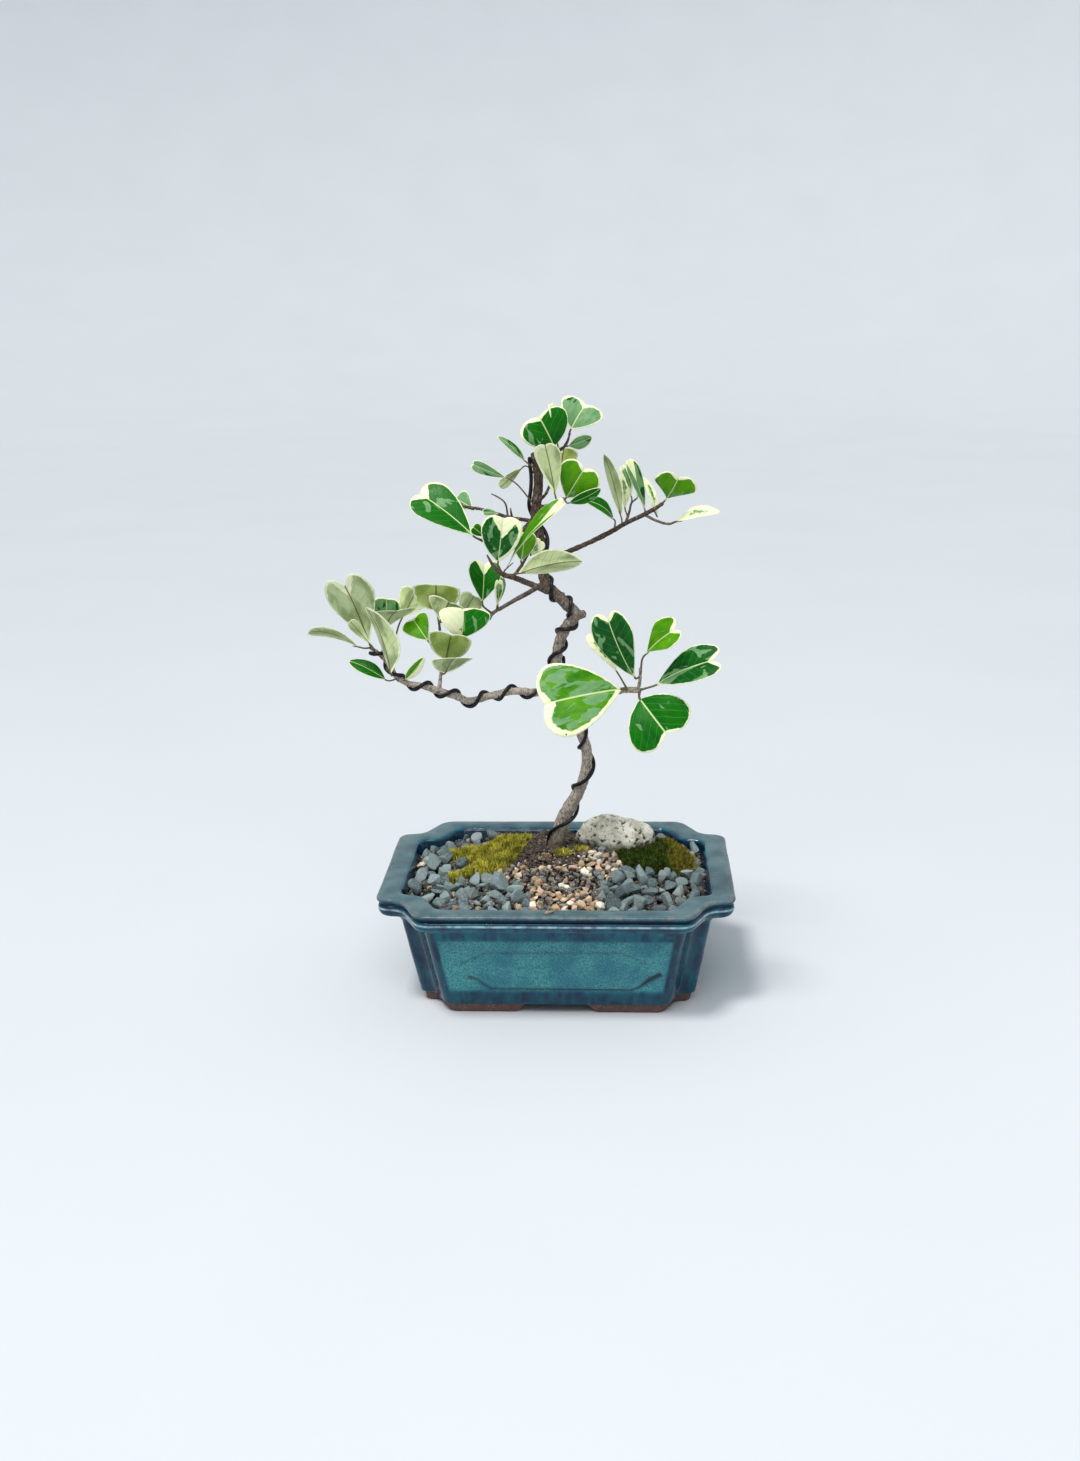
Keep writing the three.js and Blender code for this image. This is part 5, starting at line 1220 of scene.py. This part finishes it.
def big_stone():
    vertices = BALLS[6][0].copy()
    wave = 0.07 * np.sin(4 * vertices[:, 0] + 1) * np.cos(3 * vertices[:, 2])
    swell = 1 + wave + 0.05 * np.sin(5 * vertices[:, 1] + 2)
    shoulder = np.where(vertices[:, 2] > 0, 1 - 0.18 * np.maximum(0, vertices[:, 0]), 1)
    points = vertices * STONE_HALF * swell[:, None]
    points[:, 2] *= shoulder
    lumps = rough(points, 6, 4, 3.0)
    pits = smoothstep(0.25, 0.6, rough(points, 2.1, 3, 9.0))
    fine = rough(points, 1.0, 3, 1.0)
    points += vertices * (0.75 * lumps - 0.95 * pits + 0.18 * fine - 0.3)[:, None]
    points += STONE_MIDDLE
    points[:, 2] = np.maximum(points[:, 2], STONE_BASE_Z)
    foot = smoothstep(55.5, 51.5, points[:, 2] + 1.2 * lumps)
    Shape().add(points, BALLS[6][1], 0, pit=pits, foot=foot).piece(
        "stone_pitted", [rock_look()], "pale_stone", ["stone"]
    )


# Tree

HEADING = np.array([-math.sin(VIEW_TURN), math.cos(VIEW_TURN), 0])
RIGHT = np.array([math.cos(VIEW_TURN), math.sin(VIEW_TURN), 0])
FORWARD = HEADING * math.cos(VIEW_PITCH) - np.array([0, 0, math.sin(VIEW_PITCH)])
UP = HEADING * math.sin(VIEW_PITCH) + np.array([0, 0, math.cos(VIEW_PITCH)])


def seen(column, row, depth):
    """The point at a column and a row of the view, at the given depth."""
    across, down = column - VIEW_WIDTH / 2, row - VIEW_HEIGHT / 2
    u = (math.cos(VIEW_ROLL) * across - math.sin(VIEW_ROLL) * down) / VIEW_FOCAL
    v = (math.sin(VIEW_ROLL) * across + math.cos(VIEW_ROLL) * down) / VIEW_FOCAL
    ray = FORWARD + RIGHT * u - UP * v
    return VIEW_EYE + ray * (depth - VIEW_EYE[1]) / ray[1]


def curve_through(points):
    """A function from 0..1 to a smooth curve through points, each span with equal share."""
    p = np.array(points, float)
    p = np.vstack([2 * p[0] - p[1], p, 2 * p[-1] - p[-2]])
    gaps = np.sqrt(np.linalg.norm(np.diff(p, axis=0), axis=1))

    def at(share):
        place = np.clip(np.asarray(share, float), 0, 1) * (len(points) - 1)
        i = np.minimum(place.astype(int), len(points) - 2)
        t = (place - i)[..., None]
        p0, p1, p2, p3 = p[i], p[i + 1], p[i + 2], p[i + 3]
        d0, d1, d2 = (gaps[i + k][..., None] for k in range(3))
        m1 = ((p1 - p0) / d0 - (p2 - p0) / (d0 + d1) + (p2 - p1) / d1) * d1
        m2 = ((p2 - p1) / d1 - (p3 - p1) / (d1 + d2) + (p3 - p2) / d2) * d1
        return p1 + m1 * t + (-3 * p1 + 3 * p2 - 2 * m1 - m2) * t ** 2 + (2 * p1 - 2 * p2 + m1 + m2) * t ** 3

    return at


def limb_curve(name):
    return curve_through([seen(*point[:3]) for point in LIMBS[name]])


def between(values, share):
    values = np.asarray(values, float)
    return np.interp(np.clip(share, 0, 1) * (len(values) - 1), np.arange(len(values)), values)


def tube(points, radii, sides, swell=None):
    """Rings about a line of points, closed by a point at each end; swell changes the radius by ring and
    angle."""
    points = np.asarray(points, float)
    along = np.gradient(points, axis=0)
    along /= np.linalg.norm(along, axis=1, keepdims=True)
    across = np.array([0.31, -0.9, 0.3])
    rings = []
    angle = turns(sides)
    for i, (point, direction) in enumerate(zip(points, along)):
        across = across - direction * (across @ direction)
        across /= np.linalg.norm(across)
        beside = np.cross(direction, across)
        reach = radii[i] * (1 if swell is None else 1 + swell[i])
        circle = np.outer(np.cos(angle), across) + np.outer(np.sin(angle), beside)
        rings.append(point + circle * np.reshape(reach, (-1, 1)))
    caps = np.array([points[0] - along[0] * radii[0] * 0.4, points[-1] + along[-1] * radii[-1] * 0.4])
    vertices = np.concatenate(rings + [caps])
    count = len(points) * sides
    faces = lattice(len(points), sides, True).tolist()
    last = count - sides
    for j in range(sides):
        following = (j + 1) % sides
        faces.append((count, following, j))
        faces.append((count + 1, last + j, last + following))
    return vertices, faces


def limb_tube(name, rng):
    curve = limb_curve(name)
    radii_given = [point[3] for point in LIMBS[name]]
    fine = curve(np.linspace(0, 1, 400))
    length = np.linalg.norm(np.diff(fine, axis=0), axis=1).sum()
    count = max(8, int(length / 0.5))
    share = np.linspace(0, 1, count)
    radii = between(radii_given, share)
    sides = 20 if max(radii_given) > 1.5 else 14
    ring_swell = np.zeros(count)
    place = rng.uniform(0.5, 4)
    while place < length:
        spread = rng.uniform(0.35, 0.8)
        ring_swell += rng.uniform(0.04, 0.13) * np.exp(-(((share * length - place) / spread) ** 2))
        place += rng.uniform(2.2, 6.5)
    angle = turns(sides)
    knots = np.zeros((count, sides))
    for _ in range(int(length / 7)):
        at, side = rng.uniform(0, length), rng.uniform(0, 2 * math.pi)
        turn = np.angle(np.exp(1j * (angle - side)))
        knots += 0.22 * np.outer(np.exp(-(((share * length - at) / 0.8) ** 2)), np.exp(-((turn / 0.5) ** 2)))
    ridges = 0.03 * np.sin(3 * angle + rng.uniform(0, 6))[None, :] * np.ones((count, 1))
    return tube(curve(share), radii, sides, ring_swell[:, None] + knots + ridges)


def wood():
    """Trunk, branches and root flare, joined by remeshing, with bark relief pushed into the surface."""
    rng = np.random.default_rng(5)
    shape = Shape()
    twigs = Shape()
    for name, points in LIMBS.items():
        target = twigs if min(point[3] for point in points) < THINNEST_JOINED else shape
        target.add(*limb_tube(name, rng), 0)
    foot = seen(*LIMBS["trunk"][0][:3])
    upright = np.array([0, 0, 1.0])
    share = np.linspace(0, 1, 24)[:, None]
    for heading, length in ROOTS:
        direction = np.array([math.cos(math.radians(heading)), math.sin(math.radians(heading)), 0])
        path = foot + direction * length * share + ROOT_RISE * upright - ROOT_DROP * upright * share ** 1.3
        shape.add(*tube(path, ROOT_RADIUS * (1 - 0.7 * share[:, 0]), 12), 0)
    vertices, faces = remeshed(shape, WOOD_VOXEL)
    normals = vertex_normals(vertices, faces)
    relief = 0.07 * rough(vertices * (1, 1, 0.4), 0.9, 3) + 0.1 * rough(vertices, 2.6, 2, 4.0)
    scars = smoothstep(0.42, 0.6, rough(vertices, 1.7, 2, 8.0))
    vertices = vertices + normals * (relief - 0.12 * scars - 0.03)[:, None]
    age = smoothstep(*YOUNG_AND_OLD_Z, vertices[:, 2])
    stain = smoothstep(66, 56, vertices[:, 2] + 3 * rough(vertices, 4, 2, 2.0))
    result = Shape()
    result.add(vertices, faces, 0, age=age, scar=0.7 * scars, stain=stain)
    thin = np.concatenate(twigs.vertices)
    thin_faces = [face for part in twigs.faces for face in part]
    result.add(thin, thin_faces, 0, age=0.12, scar=0.0, stain=0.0)
    result.piece("tree_wood", [bark_look()], "bark", ["trunk_and_branches"])


def remeshed(shape, voxel):
    """One skin about overlapping tubes."""
    mesh = bpy.data.meshes.new("rough_wood")
    faces = [face for part in shape.faces for face in part]
    mesh.from_pydata(np.concatenate(shape.vertices).tolist(), [], faces)
    lump = bpy.data.objects.new("rough_wood", mesh)
    bpy.context.scene.collection.objects.link(lump)
    remesh = lump.modifiers.new("remesh", "REMESH")
    remesh.mode = "VOXEL"
    remesh.voxel_size = voxel
    smooth = lump.modifiers.new("smooth", "SMOOTH")
    smooth.factor = 0.5
    smooth.iterations = 3
    done = lump.evaluated_get(bpy.context.evaluated_depsgraph_get()).to_mesh()
    vertices = np.array([v.co for v in done.vertices])
    faces = [tuple(p.vertices) for p in done.polygons]
    bpy.data.objects.remove(lump)
    return vertices, faces


def vertex_normals(vertices, faces):
    corners = np.array(faces)
    a, b, c = (vertices[corners[:, k]] for k in range(3))
    face_normals = np.cross(b - a, c - a)
    normals = np.zeros_like(vertices)
    for column in corners.T:
        np.add.at(normals, column, face_normals)
    return normals / np.maximum(np.linalg.norm(normals, axis=1, keepdims=True), 1e-12)


def share_at(name, index, value):
    """Share of the way along a limb at a column (index 0) or a row (index 1) of the view."""
    stops = [point[index] for point in LIMBS[name]]
    for i, (high, low) in enumerate(zip(stops, stops[1:])):
        if low <= value <= high:
            return (i + (high - value) / (high - low)) / (len(stops) - 1)
    return 0.0 if value > stops[0] else 1.0


def wound(name, index, stations):
    """Points of a wire wound on a limb through its stations."""
    curve = limb_curve(name)
    radii = [point[3] for point in LIMBS[name]]
    line = curve(np.linspace(0, 1, 400))
    length = np.linalg.norm(np.diff(line, axis=0), axis=1).sum()
    points = []
    for (place_a, turn_a), (place_b, turn_b) in zip(stations, stations[1:]):
        run = length * abs(share_at(name, index, place_b) - share_at(name, index, place_a))
        around = abs(turn_b - turn_a) * 2 * math.pi * WIRE_COIL_RADIUS
        count = max(2, int(math.hypot(run, around) / WIRE_STEP))
        for k in range(count):
            share = share_at(name, index, place_a + (place_b - place_a) * k / count)
            angle = 2 * math.pi * (turn_a + (turn_b - turn_a) * k / count)
            along = curve(min(1, share + 0.002)) - curve(max(0, share - 0.002))
            along /= np.linalg.norm(along)
            front = -FORWARD + along * (FORWARD @ along)
            front /= np.linalg.norm(front)
            side = np.cross(along, front)
            reach = float(between(radii, share)) + WIRE_RADIUS + WIRE_CLEARANCE
            points.append(curve(share) + front * math.cos(angle) * reach + side * math.sin(angle) * reach)
    return points


def relaxed(points, times):
    """The points with their kinks smoothed out."""
    points = np.array(points)
    for _ in range(times):
        points[1:-1] = 0.5 * points[1:-1] + 0.25 * (points[:-2] + points[2:])
    return points


def wires():
    coil = wound("trunk", 1, TRUNK_WIRE_TURNS)
    buried = [coil[0] + WIRE_BURIED_LEAN * depth for depth in np.arange(WIRE_BURIED, 0, -0.6)]
    branch = wound("trunk", 1, BRANCH_WIRE_ON_TRUNK) + wound("lower_left", 0, BRANCH_WIRE_TURNS)
    material = wire_look()
    for name, points, node in (
        ("trunk_wire_coil", buried + coil, "trunk_wire"),
        ("branch_wire_coil", branch, "branch_wire"),
    ):
        points = relaxed(points, WIRE_SMOOTHING)
        radii = np.full(len(points), WIRE_RADIUS)
        radii[[0, -1]] = WIRE_RADIUS * 0.85
        Shape().add(*tube(points, radii, WIRE_SIDES), 0).piece(name, [material], "black_wire", [node])


# Leaves

LEAF_ROWS = 34
LEAF_COLUMNS = 23
BLADE_THICKNESS = 0.36
STALK_RADIUS = 0.3
STALK_SIDES = 10
STALK_VALUES = {"rim": 5.0, "rib": 3.0, "midrib": 5.0, "stalk": 1.0}


def bezier(p0, p1, p2, p3, t):
    t = np.asarray(t, float)[..., None]
    p0, p1, p2, p3 = (np.array(p, float) for p in (p0, p1, p2, p3))
    return p0 * (1 - t) ** 3 + 3 * p1 * t * (1 - t) ** 2 + 3 * p2 * t ** 2 * (1 - t) + p3 * t ** 3


def margin_points(share, lobe, full=0.0):
    """Half outline of a blade whose tip or notch is at length 1: a wedge that rounds over to a lobe, or for
    a lobe under 0 a pointed oval."""
    first, second = np.clip(2 * share, 0, 1), np.clip(2 * share - 1, 0, 1)
    if lobe < 0:
        wedge = bezier((0, 0), (0.3, 0.1), (1, 0.25), (1, 0.5), first)
        shoulder = bezier((1, 0.5), (1, 0.8), (0.35, 0.98), (0, 1), second)
    else:
        rise = lobe - 0.07
        low, high = (0.14 + 0.5 * full, 0.08 - 0.04 * full), (0.88 + 0.12 * full, 0.44 - 0.2 * full)
        wedge = bezier((0, 0), low, high, (1, 0.78), first)
        shoulder = bezier((1, 0.78), (1.04, 0.99 + 0.6 * rise), (0.5, 1.15 + 1.6 * rise), (0, 1), second)
    return np.where(share[..., None] < 0.5, wedge, shoulder)


def leaf_axes(base, tip, turn):
    along = (tip - base) / np.linalg.norm(tip - base)
    out = -FORWARD + along * (FORWARD @ along)
    out /= np.linalg.norm(out)
    out = np.array(Matrix.Rotation(math.radians(turn), 3, Vector(along)) @ Vector(out))
    return along, out, np.cross(along, out)


def margin_distance(number, x, y, edge, midrib_place, width, length, look):
    """How far each point of a blade is from its margin or its notch, in widths of the leaf's cream."""
    column = np.linspace(-1, 1, LEAF_COLUMNS)[None, :]
    cream = look["cream"] * width
    rim = (1 - np.abs(column)) * np.hypot(edge[..., 0] * width / 2, (edge[..., 1] - midrib_place) * length)
    pale = NOTCH_CREAM.get(number, PLAIN_NOTCH_CREAM)
    rise, reach = (pale + max(LOBES.get(number, PLAIN_LOBE), 0)) * length, 0.3 * width
    valley = ((1 - pale) * length + np.abs(x) / reach * rise - y) * reach / math.hypot(rise, reach)
    side = SIDE_CREAM.get(number, 0.0)
    rim = np.minimum(rim, valley + cream) - abs(side) * smoothstep(-0.4, 0.4, x * math.copysign(1, side))
    return rim / cream


def add_blade(shape, number, base, tip, spec, look):
    """The two faces of a blade and the strips at its edge. Its values are given back for the stalk."""
    width, turn, fold_degrees = spec
    rng = np.random.default_rng(100 + number)
    along, out, across = leaf_axes(base, tip, turn)
    length = np.linalg.norm(tip - base)
    fold = math.radians(fold_degrees)
    midrib_half = 0.1 + 0.012 * width
    share = np.linspace(0, 1, LEAF_ROWS)[:, None].repeat(LEAF_COLUMNS, 1)
    column = np.linspace(-1, 1, LEAF_COLUMNS)[None, :]
    edge = margin_points(share, LOBES.get(number, PLAIN_LOBE), FULLNESS.get(number, 0.0))
    wave_phase, wave_count = rng.uniform(0, 6), rng.uniform(7, 11)
    ripple = 1 + 0.02 * np.sin(wave_count * share + wave_phase + 2 * (column > 0)) * (share < 0.97)
    x = column * edge[..., 0] * ripple * width / 2
    midrib_place = 0.8 * share + 0.2 * share ** 3
    place = midrib_place + (edge[..., 1] - midrib_place) * np.abs(column)
    y = place * length
    rib = np.abs(x)
    arch = ARCHES.get(number, PLAIN_ARCH) * length * place * (1 - place)
    curl = 0.035 * rib * np.sin(5.5 * place + wave_phase) * np.abs(column)
    pleat = 0.035 * np.cos((y - 0.85 * rib) * 2 * math.pi / 3.4) * smoothstep(0.4, 2.0, rib)
    crease = -0.14 * np.exp(-((rib / midrib_half) ** 2))
    z = rib * math.sin(fold) - 0.12 * rib * np.abs(column) + arch + curl + pleat + crease
    thin_ends = smoothstep(-0.02, 0.08, share) * smoothstep(1.02, 0.94, share)
    half_thick = BLADE_THICKNESS / 2 * (1 - 0.55 * np.abs(column) ** 6) * thin_ends
    rib_height = 0.75 * midrib_half * np.exp(-((rib / midrib_half) ** 2)) * smoothstep(1.0, 0.1, share)

    def world(height):
        flat = x[..., None] * across * math.cos(fold) + y[..., None] * along + height[..., None] * out
        return (base + flat).reshape(-1, 3)

    spot = np.stack([x, y, np.full(x.shape, 17.0 * number)], -1).reshape(-1, 3)
    rim = margin_distance(number, x, y, edge, midrib_place, width, length, look)
    values = {
        "rim": rim.ravel(), "rib": rib.ravel(), "midrib": (rib / midrib_half).ravel(), "spot": spot,
        "stalk": 0.0, "style": np.array([look["bright"], look["grey"], 0.0]), "backlit": look["backlit"],
    }
    faces = lattice(LEAF_ROWS, LEAF_COLUMNS)
    shape.add(world(z + half_thick), faces, 0, **values)
    shape.add(world(z - half_thick - rib_height), faces[:, ::-1], 1, **values)
    add_margin(shape)
    return values


def leaf(number, name, spec, node, materials):
    """One leaf: a blade from its base to its tip and a stalk from the nearest point of its limb."""
    limb, root_view, base_view, tip_view, width, turn, fold_degrees, look_name = spec
    base, tip = seen(*base_view), seen(*tip_view)
    shape = Shape()
    values = add_blade(shape, number, base, tip, (width, turn, fold_degrees), LOOKS[look_name])
    root_target = seen(*root_view, base_view[2]) if root_view else base
    samples = limb_curve(limb)(np.linspace(0, 1, 300))
    root = samples[np.argmin(np.linalg.norm(samples - root_target, axis=1))]
    along, out, _ = leaf_axes(base, tip, turn)
    length = np.linalg.norm(tip - base)
    reach = np.linalg.norm(root - base)
    stops = np.linspace(0, 1, max(8, int(reach / 0.5)))
    stalk = bezier(root, root + 0.4 * (base - root), base - along * 0.35 * reach, base, stops)
    stalk = np.vstack([stalk, base + along * 0.12 * length - out * 0.02 * length])
    thick = (STALK_RADIUS + 0.01 * width) * (0.85 + 0.45 * np.exp(-np.linspace(0, 5, len(stalk))))
    thick[-1] = 0.2
    vertices, faces = tube(stalk, thick, STALK_SIDES)
    shape.add(vertices, faces, 1, **{**values, **STALK_VALUES, "spot": vertices})
    shape.piece(name, materials, "leaf", [node] if node else [])


def add_margin(shape):
    """Strips that close the edge between the blade's two faces."""
    grid = np.arange(LEAF_ROWS * LEAF_COLUMNS).reshape(LEAF_ROWS, LEAF_COLUMNS)
    faces = []
    for line, flip in ((grid[:, 0], False), (grid[:, -1], True)):
        for a, b in zip(line, line[1:]):
            quad = (a, b, b + grid.size, a + grid.size)
            faces.append(quad[::-1] if flip else quad)
    shape.faces.append([tuple(int(k) for k in face) for face in faces])
    shape.slots.append([0] * len(faces))


def leaves():
    materials = [leaf_top_look(), leaf_under_look()]
    for number, spec in enumerate(LEAVES, 1):
        node = f"leaf_{number:02d}"
        leaf(number, node + "_blade", spec, node, materials)
    for number, spec in enumerate(YOUNG_LEAVES, 1):
        leaf(60 + number, f"young_leaf_{number}", spec, None, materials)


# Stage, light and camera

FLOOR_RADIUS = 2.4
SWEEP_RADIUS = 2.2
FLOOR_SIDES = 96
SKY_STRENGTH = 0.72
SUN_STRENGTH = 1.95
SUN_ANGLE = math.radians(12)
WINDOW_PLACE = (-0.1, -0.72, 1.08)
WINDOW_SIZE = (1.0, 0.4)
WINDOW_POWER = 6.0


def stage():
    """A round floor that sweeps up at its edge, and the daylight above it. Lengths are metres."""
    climb = np.linspace(0, math.pi / 2, 25)
    reach = np.concatenate([[0.01], FLOOR_RADIUS + SWEEP_RADIUS * np.sin(climb)])
    height = np.concatenate([[0.0], SWEEP_RADIUS * (1 - np.cos(climb))])
    turn = turns(FLOOR_SIDES)
    circle = np.column_stack([np.cos(turn), np.sin(turn)])
    rings = [raised(circle * radius, z) for radius, z in zip(reach, height)]
    faces = lattice(len(rings), FLOOR_SIDES, True).tolist() + [list(range(FLOOR_SIDES))]
    mesh = bpy.data.meshes.new("floor")
    mesh.from_pydata(np.concatenate(rings).tolist(), [], faces)
    mesh.polygons.foreach_set("use_smooth", [True] * len(mesh.polygons))
    mesh.materials.append(floor_look())
    floor = bpy.data.objects.new("floor", mesh)
    bpy.context.scene.collection.objects.link(floor)
    world = bpy.data.worlds.new("soft_daylight")
    bpy.context.scene.world = world
    world.use_nodes = True
    background = world.node_tree.nodes["Background"]
    background.inputs["Color"].default_value = rgb(222, 230, 238)
    background.inputs["Strength"].default_value = SKY_STRENGTH


def lamp(name, kind, place_at, target, power, colour=(1, 1, 1)):
    light = bpy.data.lights.new(name, kind)
    light.energy = power
    light.color = colour
    lamp_object = bpy.data.objects.new(name, light)
    lamp_object.location = place_at
    direction = Vector(target) - Vector(place_at)
    lamp_object.rotation_euler = direction.to_track_quat("-Z", "Y").to_euler()
    bpy.context.scene.collection.objects.link(lamp_object)
    return light


def lights():
    sky = lamp("high_sky", "SUN", (-0.25, -0.3, 1.0), (0, 0, 0), SUN_STRENGTH, (1.0, 0.99, 0.97))
    sky.angle = SUN_ANGLE
    window = lamp("window", "AREA", WINDOW_PLACE, (0, 0, 0.06), WINDOW_POWER)
    window.shape = "RECTANGLE"
    window.size, window.size_y = WINDOW_SIZE


def camera():
    cos_roll, sin_roll = math.cos(VIEW_ROLL), math.sin(VIEW_ROLL)
    camera_x = cos_roll * RIGHT - sin_roll * UP
    camera_y = sin_roll * RIGHT + cos_roll * UP
    data = bpy.data.cameras.new("view")
    data.sensor_width = SENSOR
    data.lens = VIEW_FOCAL / VIEW_HEIGHT * SENSOR
    data.clip_end = 50
    view = bpy.data.objects.new("view", data)
    matrix = np.eye(4)
    matrix[:3, 0], matrix[:3, 1], matrix[:3, 2] = camera_x, camera_y, -FORWARD
    matrix[:3, 3] = VIEW_EYE * MM + POT_MIDDLE
    view.matrix_world = Matrix(matrix.tolist())
    bpy.context.scene.collection.objects.link(view)
    bpy.context.scene.camera = view
    bpy.context.scene.view_settings.view_transform = "Standard"


def cad_looks():
    """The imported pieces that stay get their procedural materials."""
    plastic = plastic_look()
    for name, material in (
        ("soil", soil_look()), ("drain_screen_left", plastic), ("drain_screen_right", plastic),
    ):
        for slot in frame["nodes"][name].material_slots:
            slot.material = material


camera()
stage()
lights()
cad_looks()
pot_piece()
coarse_gravel("coarse_gravel_left", 11, 150, (-25.5, -17.0, 5.6))
coarse_gravel("coarse_gravel_right", 12, 110)
fine_gravel()
bark_mulch()
moss("moss_left", 21, [(146, 152, 34), (188, 182, 60), (206, 182, 92)], 0.75, tufts=SMALL_MOSS)
moss("moss_right", 22, [(48, 78, 6), (128, 122, 34), (126, 102, 44)], 0.95, (42, 56))
big_stone()
wood()
wires()
leaves()
